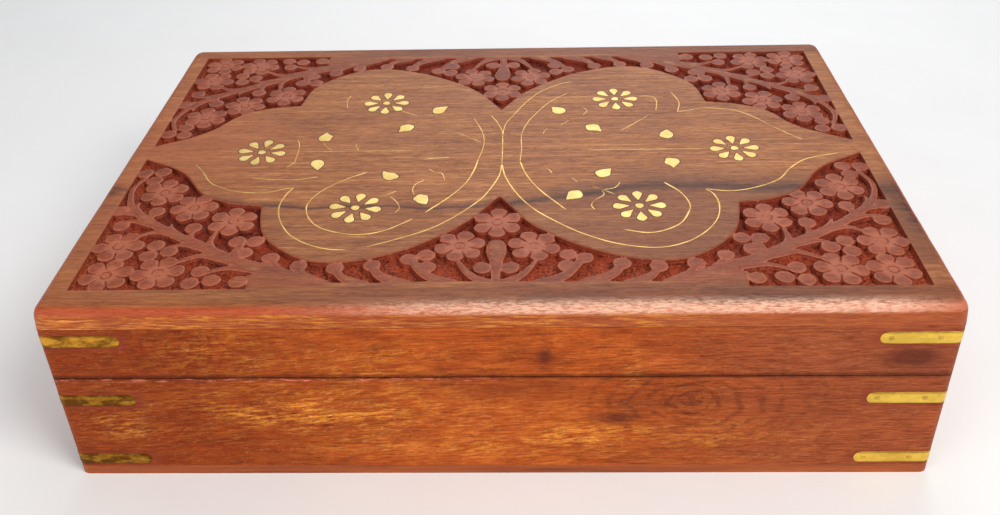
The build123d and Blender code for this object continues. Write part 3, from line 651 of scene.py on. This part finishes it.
def lattice_noise(x, y, cell_x, cell_y, seed):
    """Smooth noise from -1 to 1, with one random value at each corner of a lattice."""
    values = np.random.default_rng(seed).uniform(-1, 1, (256, 256))
    u, v = x / cell_x + 128, y / cell_y + 128
    i, j = np.floor(u).astype(int), np.floor(v).astype(int)
    s, t = u - i, v - j
    s, t = s * s * (3 - 2 * s), t * t * (3 - 2 * t)
    near = values[i % 256, j % 256] * (1 - s) + values[(i + 1) % 256, j % 256] * s
    far = values[i % 256, (j + 1) % 256] * (1 - s) + values[(i + 1) % 256, (j + 1) % 256] * s
    return near * (1 - t) + far * t


class Relief:
    """Signed distance to the raised wood, and its height, over one set of points."""

    def __init__(self, x, y):
        self.x, self.y = x, y
        self.inside = np.full(x.shape, -99.0)
        self.drop = np.full(x.shape, 99.0)

    def raise_shape(self, where, distance, drop):
        """Adds a raised shape, whose top is drop below the board's."""
        closer = distance > self.inside[where]
        self.inside[where] = np.where(closer, distance, self.inside[where])
        self.drop[where] = np.minimum(self.drop[where], np.where(distance > -grid_step, drop, 99.0))

    def petal(self, cx, cy, lean=(0.0, 0.0)):
        """A round petal with a rolled edge, a little lower on the side that lean points to."""
        where = (np.abs(self.x - cx) < petal_radius + 2) & (np.abs(self.y - cy) < petal_radius + 2)
        dx, dy = self.x[where] - cx, self.y[where] - cy
        distance = petal_radius - np.hypot(dx, dy)
        gain = np.maximum(distance, 0)
        drop = relief_below + 0.4 * np.exp(-gain / 0.22) + 0.06 * np.clip(1 - gain / petal_radius, 0, 1) ** 2
        drop = drop + np.maximum((dx * lean[0] + dy * lean[1]) / petal_radius, 0) * 0.12
        self.raise_shape(where, distance, drop)

    def flower(self, cx, cy, turn):
        """Six petals parted by grooves, round a ringed eye."""
        for number in range(6):
            out = direction(turn + 60 * number)
            self.petal(cx + petal_ring * out[0], cy + petal_ring * out[1], -out)
        where = (np.abs(self.x - cx) < 10) & (np.abs(self.y - cy) < 10)
        dx, dy = self.x[where] - cx, self.y[where] - cy
        away = np.hypot(dx, dy)
        self.inside[where] = np.maximum(self.inside[where], heart_radius - away)
        heart = np.minimum(self.drop[where], relief_below + 0.12)
        drop = np.where(away < heart_radius - 0.2, heart, self.drop[where])
        sector = (np.degrees(np.arctan2(dy, dx)) - turn + 30) % 60 - 30
        off_groove = away * np.sin(np.radians(30 - np.abs(sector)))
        groove = 0.5 * np.exp(-((off_groove / 0.3) ** 2)) * np.clip((away - 2.6) / 3.0, 0, 1)
        drop = np.where((away < flower_reach) & (drop < 2), drop + groove, drop)
        ring = 0.32 * np.exp(-(((away - 1.8) / 0.35) ** 2)) + 0.2 * np.exp(-((away / 0.6) ** 2))
        uneven = 0.6 + 0.5 * lattice_noise(dx + 3 * cx, dy + 3 * cy, 1.3, 1.3, 33)
        self.drop[where] = np.where(away < 3.2, drop + ring * uneven, drop)

    def stem(self, points):
        """A stem along its centre line, with its own width at each point."""
        path = smooth_path(points, 6)
        low, high = path.min(0) - 5, path.max(0) + 5
        where = (self.x > low[0]) & (self.x < high[0]) & (self.y > low[1]) & (self.y < high[1])
        x, y = self.x[where], self.y[where]
        best = np.full(x.shape, -99.0)
        for a, b in zip(path, path[1:]):
            t, gap = to_segment(x, y, a, b)
            best = np.maximum(best, (a[2] + t * (b[2] - a[2])) / 2 - gap)
        self.raise_shape(where, best, relief_below - 0.04 + 0.4 * np.exp(-np.maximum(best, 0) / 0.3))

    def outline(self, path):
        """Distance to a polygon's edge, positive inside it."""
        away = np.full(self.x.shape, 99.0)
        crossed = np.zeros(self.x.shape, bool)
        for a, b in zip(path, path[1:]):
            run = b - a
            away = np.minimum(away, to_segment(self.x, self.y, a, b)[1])
            spans = (a[0] > self.x) != (b[0] > self.x)
            if abs(run[0]) > 1e-9:
                crossed ^= spans & (self.y < a[1] + (self.x - a[0]) * run[1] / run[0])
        return np.where(crossed, away, -away)

    def slab(self, distance):
        """Adds wood that was left at its full height, such as the border."""
        everywhere = np.ones(self.x.shape, bool)
        self.raise_shape(everywhere, distance, 0.3 * np.exp(-np.maximum(distance, 0) / 0.28))


def relief_at(x, y):
    """Signed distance and height below the top of the carved board, at flat arrays of points."""
    wobble_x = 0.35 * lattice_noise(x, y, 11, 11, 11)
    wobble_y = 0.35 * lattice_noise(x, y, 11, 11, 12)
    relief = Relief(np.abs(x + wobble_x), np.abs(y + wobble_y))
    lobe = smooth_path(cartouche_lobe, 12)
    edge = np.vstack([smooth_path(cartouche_tip, 12), lobe[1:]])
    relief.slab(relief.outline(edge))
    relief.slab(np.maximum(np.abs(x) - field_x, np.abs(y) - field_y))
    for start, end, depth in ledges:
        across = np.minimum(end - relief.x, relief.x - start) if start else end - relief.x
        relief.slab(np.minimum(across, relief.y - (field_y - depth)))
    for points in stems:
        relief.stem(points)
    for cx, cy in buds + [petal for trefoil in trefoils for petal in trefoil]:
        relief.petal(cx, cy)
    for cx, cy, angle in flowers:
        relief.flower(cx, cy, angle)
    return relief.inside, relief.drop


def top_surface(xs, ys):
    """Grid points of the carved surface, moved sideways so that edges of the relief fall on them."""
    x, y = (g.ravel() for g in np.meshgrid(xs, ys, indexing="ij"))
    inside, drop = relief_at(x, y)
    shape = (len(xs), len(ys))
    slope_x, slope_y = (g.ravel() for g in np.gradient(inside.reshape(shape), grid_step))
    steep = np.maximum(np.hypot(slope_x, slope_y), 0.3)
    border = (np.abs(x) > field_x + 1) | (np.abs(y) > field_y + 1)
    near = (np.abs(inside) < grid_step * 0.55) & ~border
    x = np.where(near, x - inside * slope_x / steep**2, x)
    y = np.where(near, y - inside * slope_y / steep**2, y)
    rough = 0.16 * lattice_noise(x, y, 1.1, 1.1, 5) + 0.2 * lattice_noise(x, y, 2.6, 2.6, 6)
    ground = carve_depth + rough - 0.25 * np.clip(1 + (inside + 0.4) / 1.2, 0, 1)
    raised = drop > relief_below * 0.6
    drop = np.where(inside > 0, drop, np.where(near, np.minimum(drop, 0.8), ground))
    hand = 0.05 * lattice_noise(x, y, 6, 6, 7) + 0.03 * lattice_noise(x, y, 2, 2, 8)
    drop = np.where((inside > 0) & ~border & raised, drop + hand, drop)
    drop = np.where(border, 0.01, drop)
    return np.column_stack([x, y, top_z - drop]).reshape(*shape, 3)


def make_object(name, points, faces, material, smooth_angle=35):
    """A mesh object from points in millimetres."""
    mesh = bpy.data.meshes.new(name)
    mesh.from_pydata((np.asarray(points) * MM).tolist(), [], [list(map(int, f)) for f in faces])
    mesh.validate()
    mesh.materials.append(material)
    piece = bpy.data.objects.new(name, mesh)
    bpy.context.collection.objects.link(piece)
    mesh.shade_smooth()
    if smooth_angle:
        mesh.set_sharp_from_angle(angle=math.radians(smooth_angle))
    return piece


def carved_board():
    """The whole top board: the carved grid, and rings round its rounded edge down to the underside."""
    reach_x, reach_y = field_x + grid_margin, field_y + grid_margin
    xs = np.linspace(-reach_x, reach_x, int(round(2 * reach_x / grid_step)) + 1)
    ys = np.linspace(-reach_y, reach_y, int(round(2 * reach_y / grid_step)) + 1)
    grid = top_surface(xs, ys)
    nx, ny = len(xs), len(ys)
    index = np.arange(nx * ny).reshape(nx, ny)
    a, b, c, d = grid_corners(index)
    height = grid[..., 2].ravel()
    first = np.abs(height[a] - height[c]) <= np.abs(height[b] - height[d])
    one = np.where(first[..., None], np.stack([a, b, c], -1), np.stack([a, b, d], -1))
    two = np.where(first[..., None], np.stack([a, c, d], -1), np.stack([b, c, d], -1))
    faces = [*one.reshape(-1, 3).tolist(), *two.reshape(-1, 3).tolist()]
    points = [grid.reshape(-1, 3)]
    rim = grid_rim(index)
    start = grid.reshape(-1, 3)[rim]
    corner_run = 6.0
    inner_lip = 12.0
    blunt = 0.15
    turns = np.radians(range(0, 91, 10))
    depth = top_z - top_underside
    profile = [(top_round + 0.8, 0.0)]
    profile += [(top_round * (1 - math.sin(k)), top_round * (1 - math.cos(k))) for k in turns]
    profile += [(0.0, depth - blunt), (blunt, depth), (inner_lip, depth)]
    count = nx * ny
    last = rim
    for inset, drop in profile:
        sharper = top_corner_radius - (top_corner_radius - frame_radius) * min(drop / depth, 1.0)
        ring = outline_ring(start[:, :2], reach_x, reach_y, inset, corner_run, sharper)
        wear = 0.1 * lattice_noise(ring[:, 0], ring[:, 1], 9, 9, 21) * (0.5 < drop < top_round + 2)
        points.append(np.column_stack([ring * (1 - wear[:, None] / 150), np.full(len(rim), top_z - drop)]))
        new = np.arange(count, count + len(rim))
        for k in range(len(rim)):
            n = (k + 1) % len(rim)
            faces.append([last[k], new[k], new[n], last[n]])
        last = new
        count += len(rim)
    faces.append(last.tolist())
    return make_object("carved_top_board", np.vstack(points), faces, top_wood, smooth_angle=None)


def outline_ring(rim, reach_x, reach_y, inset, corner_run, corner_radius):
    """Where the rim's points land on the board's rounded outline, moved in by inset."""
    x, y = rim[:, 0], rim[:, 1]
    radius = max(corner_radius - inset, 0.2)
    out_x, out_y = half_width - inset - radius, half_depth - inset - radius
    on_side = np.abs(np.abs(x) - reach_x) < 1e-6
    on_front = np.abs(np.abs(y) - reach_y) < 1e-6
    share_x = np.clip((np.abs(x) - (reach_x - corner_run)) / corner_run, 0, 1)
    share_y = np.clip((np.abs(y) - (reach_y - corner_run)) / corner_run, 0, 1)
    angle = np.where(on_front, math.pi / 2 - share_x * math.pi / 4, share_y * math.pi / 4)
    run_x = np.where(on_front, np.minimum(np.abs(x) / (reach_x - corner_run), 1), 1) * out_x
    run_y = np.where(on_side & ~on_front, np.minimum(np.abs(y) / (reach_y - corner_run), 1), 1) * out_y
    return np.column_stack([
        np.sign(x) * (run_x + radius * np.cos(angle)), np.sign(y) * (run_y + radius * np.sin(angle))
    ])


board = carved_board()
board.modifiers.new("fewer_faces", "DECIMATE").ratio = 0.4
thinned = bpy.data.meshes.new_from_object(board.evaluated_get(bpy.context.evaluated_depsgraph_get()))
board.modifiers.clear()
board.data = thinned
board.data.set_sharp_from_angle(angle=math.radians(40))
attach(board, "lid")
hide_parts("lid_top_panel")

# --- Brass inlay ---
# Each flower is its middle and how far it is turned, in degrees.
brass_flowers = [
    (-97.3, -0.7, -8), (94.3, -1.1, 2), (-51.0, 41.3, 1), (49.7, 43.0, 0), (-53.3, -42.5, -8), (52.1, -42.7, 1),
]
# Each leaf is the middle of its round end and the way that it points, in degrees.
brass_leaves = [
    (-73.1, 10.6, 90), (-72.9, -10.2, -80), (68.4, 10.4, 82), (68.0, -11.2, -90),
    (-39.8, 18.8, 230), (-42.6, -20.4, 130), (38.4, 17.4, -45), (40.2, -19.6, 45),
    (-27.4, 34.0, 45), (-29.2, -36.6, -60), (24.8, 32.6, 135), (28.8, -34.6, 225),
]
bold_wires = [
    [(0.8, -12), (0, -20), (-2.5, -28), (-6, -36), (-10.5, -42.5), (-17, -50), (-25, -57), (-36, -63),
     (-46, -67.5)],
    [(-53, -69.2), (-60, -68.5), (-68, -65), (-75, -59), (-80, -50), (-82, -41), (-81, -33), (-79, -28)],
    [(-52, -17), (-60, -22.5), (-67, -29.5), (-71, -37), (-71.5, -43), (-69, -50), (-64, -55.5), (-56, -59),
     (-48, -59.8), (-40, -57), (-31, -50)],
    [(-27, -46), (-19, -36), (-13, -26), (-10, -16), (-8.7, -8)],
    [(-79, -28), (-84, -29.5), (-90, -31.5), (-100, -30.5), (-108, -27), (-113, -23), (-118, -15), (-122, -10)],
    [(0.8, -12), (2.5, -22), (7, -34), (13, -44), (20.5, -52), (30, -60), (42, -66.5), (55.5, -69.1), (66, -66),
     (74, -59.5), (79.5, -51), (81.5, -42), (80.5, -35), (78, -31.5)],
    [(78, -31.5), (87.5, -33), (97.5, -30.5), (107, -25), (113, -17), (121, -10), (135, -5.5)],
    [(8, -10), (10.5, -20), (15.5, -31), (25, -45)],
    [(45, -58), (55, -60), (65, -55), (70, -46), (70.5, -40), (68, -33), (63, -26.5)],
]
fine_wires = [
    [(-97, -20.5), (-88, -22), (-78, -22), (-71, -20)],
    [(-84.5, 9.5), (-83.2, 6), (-82.5, 1.4), (-82.3, -6), (-82.5, -9.5), (-85, -13)],
    [(-39, -31), (-42, -33.4), (-45, -35)],
    [(-41, -35), (-38, -39), (-36.8, -43), (-38, -46)],
    [(-29, -23.5), (-32, -26), (-33, -30), (-32, -34)],
    [(-28, -15), (-25, -18), (-22.5, -18.5), (-21, -24)],
    [(-31, -7.5), (-26, -6.8), (-20, -6.5)],
    [(35.5, -29), (39.5, -31.5), (44, -35)],
    [(39, -31.5), (39.5, -35), (36, -38.5), (34.5, -42), (35.5, -45)],
    [(39.5, -31.5), (44, -30), (46.5, -26)],
    [(18, -15), (19.6, -17), (20.5, -19)],
    [(28, -23), (29.3, -24.3), (30, -26)],
    [(-73.2, 6.8), (-71.4, 3.2), (-68.6, 0.5)],
    [(-59.5, 5), (-58.8, 2.4), (-57.7, 0)],
    [(-88.5, -0.6), (-62, -0.4), (-35.5, -0.6)],
    [(-44.5, 35), (-40.6, 32), (-36.4, 29.5)],
    [(0.8, -12), (0.9, 0), (0.8, 12)],
    [(-4.5, 29), (-1.8, 23), (0.5, 15), (0.8, 12)],
    [(-11.8, 26.8), (-8.2, 16), (-6.8, 7.7), (-7.2, 0), (-8.7, -8)],
    [(-18, 14), (-12.4, 9.2), (-7.7, 5.5)],
    [(-67.7, 49), (-68.8, 44), (-67.7, 37)],
    [(0.8, 12), (1.8, 20.5), (5, 28.6), (9.5, 38.6), (16, 49.5), (25, 57.7), (31.4, 60.5)],
    [(8, -10), (8.6, 0), (8.6, 11.4), (10.9, 21.4), (15, 30.5), (21.4, 41.4), (29.5, 49.5)],
    [(75.6, 30.5), (77.3, 39.5), (75, 49.5)],
    [(75.6, 30.5), (80.5, 31.8), (86, 33.6), (93.2, 33.2), (100.5, 31), (106.8, 25.5), (113.2, 16.8),
     (119.5, 9), (123, 5.5)],
    [(60.5, 45.5), (66, 45), (67.7, 40.5), (66.4, 31.4)],
    [(62.7, 27.3), (56, 20.4), (50, 14.5)],
    [(28.6, 24), (27, 21.6), (25, 20)],
    [(19.5, 16.8), (18.2, 14.6), (17.7, 12.3)],
    [(35, 36), (36.8, 32.3), (35, 28.6)],
    [(32.5, -1.4), (60, -1.3), (85.5, -1.2)],
]
plate_depth = 0.4
plate_rise = 0.09
gum_and_shade_reach = 0.36
gum_and_shade_rise = 0.016
flower_ring = 8.0
petal_size = (4.3, 1.85, 0.03)
eye_size = 1.6
leaf_size = (4.9, 2.9, 0.075)
bold_width, fine_width = 0.48, 0.3


class Solid:
    """Points and faces of one piece, added a closed shape at a time."""

    def __init__(self):
        self.points, self.faces = [], []

    def rings(self, rings):
        """Joins rings of equal length one after another, and covers the first and the last."""
        start, count = len(self.points), len(rings[0])
        for ring in rings:
            self.points.extend(map(tuple, ring))
        for r in range(len(rings) - 1):
            for k in range(count):
                a, b = start + r * count + k, start + r * count + (k + 1) % count
                self.faces.append((a, b, b + count, a + count))
        last = start + (len(rings) - 1) * count
        self.faces.append(tuple(range(start, start + count))[::-1])
        self.faces.append(tuple(range(last, last + count)))

    def finish(self, name, material, body, slot, replaced=None, smooth_angle=35):
        """Makes the piece on its body, in place of the CAD node named by replaced."""
        piece = make_object(name, self.points, self.faces, material, smooth_angle)
        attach(piece, body)
        if replaced:
            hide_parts(replaced)


def at_height(outline, grow, z):
    """The outline moved out by grow, as points at one height."""
    middle = outline.mean(0)
    spread = outline - middle
    size = np.hypot(*spread.T).mean()
    flat = middle + spread * (1 + grow / size)
    return np.column_stack([flat, np.full(len(flat), z)])


def plate(metal, gum_and_shade_rim, outline):
    """One hand-cut brass plate, a little pillowed, in its dark rim, partly gum and partly painted shade."""
    top = [(-0.08, plate_rise - 0.02), (-0.3, plate_rise), (-0.7, plate_rise)]
    rings = [(0.0, -plate_depth), (0.0, 0.01), *top]
    metal.rings([at_height(outline, grow, top_z + z) for grow, z in rings])
    gum_and_shade_rim.rings([at_height(outline, gum_and_shade_reach, top_z + z) for z in (-plate_depth, gum_and_shade_rise)])


def teardrop(x, y, angle, size, seed):
    """A teardrop round a point, with its tip along angle; size is its reach, radius and raggedness."""
    reach, radius, ragged = size
    chance = np.random.default_rng(seed)
    side = math.acos(radius / reach)
    turns = np.linspace(side, 2 * math.pi - side, 18)
    local = np.column_stack([np.cos(turns), np.sin(turns)]) * radius
    tip = np.array([[reach - 0.25, -0.22], [reach - 0.02, 0.0], [reach - 0.25, 0.22]])
    flanks = [local[0] + (tip[2] - local[0]) * 0.5, local[-1] + (tip[0] - local[-1]) * 0.5]
    local = np.vstack([tip[1:], flanks[:1], local, flanks[1:], tip[:1]])
    waves = chance.uniform(-1, 1, 4)
    bearing = np.arctan2(local[:, 1], local[:, 0])
    swell = sum(w * np.cos((k + 2) * bearing + 6 * w) for k, w in enumerate(waves)) * ragged
    local = local * (1 + swell)[:, None]
    c, s = direction(angle)
    return np.column_stack([x + local[:, 0] * c - local[:, 1] * s, y + local[:, 0] * s + local[:, 1] * c])


def round_outline(x, y, radius, seed):
    """A hand-cut disc's outline."""
    turns = np.linspace(0, 2 * math.pi, 20, endpoint=False)
    wave = 1 + 0.06 * np.cos(3 * turns + seed)
    return np.column_stack([x + radius * wave * np.cos(turns), y + radius * wave * np.sin(turns)])


def wire(metal, points, width, seed):
    """A hammered-in wire that swells and narrows a little along its way."""
    path = smooth_path(points, 7)
    ahead = np.gradient(path, axis=0)
    normal = np.column_stack([-ahead[:, 1], ahead[:, 0]]) / np.hypot(*ahead.T)[:, None]
    swell = 1 + 0.3 * lattice_noise(path[:, 0] + seed, path[:, 1], 3.0, 3.0, 40)
    swell[0] = swell[-1] = 0.3
    half = (width / 2 * swell)[:, None]
    rise = 0.035 + 0.02 * lattice_noise(path[:, 0], path[:, 1] + seed, 5.0, 5.0, 41)
    profile = [(-1, -0.3), (-1, 0.012), (0, None), (1, 0.012), (1, -0.3)]
    rings = []
    for k in range(len(path)):
        ring = [
            (*(path[k] + normal[k] * half[k] * across), top_z + (rise[k] + 0.012 if z is None else z))
            for across, z in profile
        ]
        rings.append(ring[::-1])
    metal.rings(rings)


gum_and_shade_rim, petals, leaves, wires = Solid(), Solid(), Solid(), Solid()
for number, (x, y, turn_by) in enumerate(brass_flowers):
    for step in range(8):
        angle = turn_by + 45 * step
        out = direction(angle) * flower_ring
        plate(petals, gum_and_shade_rim, teardrop(x + out[0], y + out[1], angle + 180, petal_size, 10 * number + step))
    plate(petals, gum_and_shade_rim, round_outline(x, y, eye_size, number))
for number, (x, y, angle) in enumerate(brass_leaves):
    plate(leaves, gum_and_shade_rim, teardrop(x, y, angle, leaf_size, 200 + number))
for number, points in enumerate(bold_wires):
    wire(wires, points, bold_width, number)
for number, points in enumerate(fine_wires):
    wire(wires, points, fine_width, 50 + number)
petals.finish("brass_flowers", inlay_brass, "lid", "inlay_brass", "brass_flower_inlays")
leaves.finish("brass_leaves", inlay_brass, "lid", "inlay_brass", "brass_leaf_inlays")
wires.finish("brass_wires", wire_brass, "lid", "inlay_brass", "brass_wire_inlays")
# The dark rim round the inlay: partly gum, partly painted shade.
gum_and_shade_rim.finish("inlay_gum_and_shade", gum_and_shade, "lid", "carved_wood")

# --- Corner straps ---
def corner_path(sign_x, sign_y):
    """Points, outward directions and distances along a strap, from its front end to its side end."""
    straight = strap_leg - frame_radius
    reach = np.concatenate([
        np.linspace(0, 2.6, 12), np.linspace(3.2, straight - 0.5, 16), np.linspace(straight, straight + 4.7, 9)
    ])
    bend = frame_radius * math.pi / 2
    total = 2 * straight + bend
    reach = np.unique(np.round(np.concatenate([reach, total - reach]), 4))
    rows = []
    for run in reach:
        if run < straight:
            place, out = (half_width - strap_leg + run, half_depth), (0, 1)
        elif run > straight + bend:
            place, out = (half_width, half_depth - frame_radius - (run - straight - bend)), (1, 0)
        else:
            turned = (run - straight) / frame_radius
            out = (math.sin(turned), math.cos(turned))
            place = (half_width - frame_radius * (1 - out[0]), half_depth - frame_radius * (1 - out[1]))
        rows.append((sign_x * place[0], sign_y * place[1], sign_x * out[0], sign_y * out[1], run, total - run))
    return np.array(rows)


def strap(level, corner, sign_x, sign_y, seed):
    """A worn brass strip round one corner, a little proud of the wood and rounded at its edges."""
    solid = Solid()
    rings = []
    across = np.array([-1.0, -0.97, -0.88, -0.6, -0.25, 0.1, 0.45, 0.75, 0.9, 0.97, 1.0])
    proud = np.array([-0.05, 0.06, 0.11, 0.12, 0.13, 0.12, 0.13, 0.12, 0.11, 0.06, -0.05])
    for x, y, out_x, out_y, before, after in corner_path(sign_x, sign_y):
        near = min(before, after)
        half = strap_half_width - 0.07
        if near < half:
            half = max(math.sqrt(max(half**2 - (half - near) ** 2, 0)), 0.12)
        fade = min(near / 0.5, 1.0)
        z = strap_levels[level] + across * half
        dent = 0.035 * lattice_noise(z * 3 + seed * 7, np.full(len(z), before), 4.0, 5.0, 60)
        lift = proud * fade - 0.05 * (1 - fade) + dent * fade * (np.abs(across) < 0.95)
        front = [(x + out_x * o, y + out_y * o, h) for o, h in zip(lift, z)]
        back = [(x - out_x * strap_depth, y - out_y * strap_depth, h) for h in (z[-1], z[0])]
        ring = front + back
        rings.append(ring if sign_x * sign_y > 0 else ring[::-1])
    solid.rings(rings)
    node = f"strap_{level}_{corner}"
    solid.finish(f"worn_{node}", strap_brass, "lid" if level == "lid" else "base", "strap_brass", node, 50)


for seed, level in enumerate(strap_levels):
    for y_name, sign_y in (("front", -1), ("back", 1)):
        for x_name, sign_x in (("left", -1), ("right", 1)):
            strap(level, f"{y_name}_{x_name}", sign_x, sign_y, 4 * seed + 2 * sign_y + sign_x)

# --- Velvet pads ---
seam_half_width = 2.0
cross_x = box_mm("cross_divider_right")[0][0] + 2.0


def pad(name, node, axis, way, puff, seams=((), ())):
    """A soft lining in place of a flat one: its face swells by puff between its edges and its seams."""
    step = 3.0
    low, high = box_mm(node)
    flat = [k for k in range(3) if k != axis]
    lines = [np.linspace(low[k], high[k], int((high[k] - low[k]) / step) + 2) for k in flat]
    u, v = np.meshgrid(*lines, indexing="ij")
    gap_u = np.minimum(u - low[flat[0]], high[flat[0]] - u)
    gap_v = np.minimum(v - low[flat[1]], high[flat[1]] - v)
    for place in seams[0]:
        gap_u = np.minimum(gap_u, np.maximum(np.abs(u - place) - seam_half_width, 0))
    for place in seams[1]:
        gap_v = np.minimum(gap_v, np.maximum(np.abs(v - place) - seam_half_width, 0))
    rise = np.tanh(gap_u / 4.0) * np.tanh(gap_v / 4.0)
    ruffle = 0.25 * lattice_noise(u, v, 13, 9, 71) + 0.12 * lattice_noise(u, v, 5, 5, 72)
    face = (high if way > 0 else low)[axis] + way * puff * rise * (1 + ruffle)
    back = np.full(face.shape, (low if way > 0 else high)[axis])
    points = np.zeros((2, *u.shape, 3))
    for side, level in enumerate((face, back)):
        points[side, ..., flat[0]] = u
        points[side, ..., flat[1]] = v
        points[side, ..., axis] = level
    nu, nv = u.shape
    index = np.arange(2 * nu * nv).reshape(2, nu, nv)
    quads = np.stack(grid_corners(index[0]), -1).reshape(-1, 4)
    rim = grid_rim(index[0])
    under = rim + nu * nv
    skirt = np.stack([rim, under, np.roll(under, -1), np.roll(rim, -1)], -1)
    flip = (way > 0) == (axis == 1)
    faces = [list(f[::-1] if flip else f) for f in (*quads, *skirt, under[::-1])]
    points = points.reshape(-1, 3)
    used = sorted({int(k) for f in faces for k in f})
    renumber = {old: new for new, old in enumerate(used)}
    faces = [[renumber[int(k)] for k in f] for f in faces]
    piece = make_object(name, points[used], faces, red_velvet, 50)
    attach(piece, "lid" if node == "lid_lining" else "base")
    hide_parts(node)


pad("floor_pad", "floor_lining", 2, 1, 0.7, ((-cross_x, cross_x), (0.0,)))
pad("lid_pad", "lid_lining", 2, -1, 1.2)
for side, axis, way in (("front", 1, 1), ("back", 1, -1), ("left", 0, 1), ("right", 0, -1)):
    cuts = ((-cross_x, cross_x), ()) if axis == 1 else ((0.0,), ())
    pad(f"{side}_wall_pad", f"{side}_wall_lining", axis, way, 0.35, cuts)

# --- Floor and light ---
def floor():
    """A large pale floor."""
    tree = Tree("pale_floor")
    grain = tree.noise(tree.x * 0.02, tree.y * 0.02, tree.z, detail=3.0)
    tree.surface(Base_Color=tree.mix(grain, (238, 238, 238), (244, 244, 244)), Roughness=0.6)
    size = 4000.0
    points = [(-size, -size, 0), (size, -size, 0), (size, size, 0), (-size, size, 0)]
    plane = make_object("floor", points, [(0, 1, 2, 3)], tree.material, None)


def area_light(name, place, aim, size, power, colour):
    """A round soft light at a place, turned towards aim, of a size in millimetres and a power in watts."""
    data = bpy.data.lights.new(name, "AREA")
    data.shape = "DISK"
    data.size = size * MM
    data.energy = power
    data.color = colour
    light = bpy.data.objects.new(name, data)
    light.location = Vector(place) * MM
    light.rotation_euler = (Vector(aim) - Vector(place)).to_track_quat("-Z", "Y").to_euler()
    bpy.context.collection.objects.link(light)


floor()
area_light("key", (500, -500, 800), (0, 0, 40), 500, 7.0, (1.0, 0.97, 0.93))
area_light("fill", (-700, -700, 350), (0, 0, 40), 700, 3.9, (1.0, 0.96, 0.92))
area_light("back", (100, 700, 600), (0, 0, 60), 900, 3.6, (0.97, 0.98, 1.0))
world = bpy.data.worlds.new("world")
bpy.context.scene.world = world
world.use_nodes = True
world.node_tree.nodes["Background"].inputs["Color"].default_value = (0.93, 0.96, 1.0, 1.0)
world.node_tree.nodes["Background"].inputs["Strength"].default_value = 0.37
bpy.context.scene.view_settings.view_transform = "Standard"
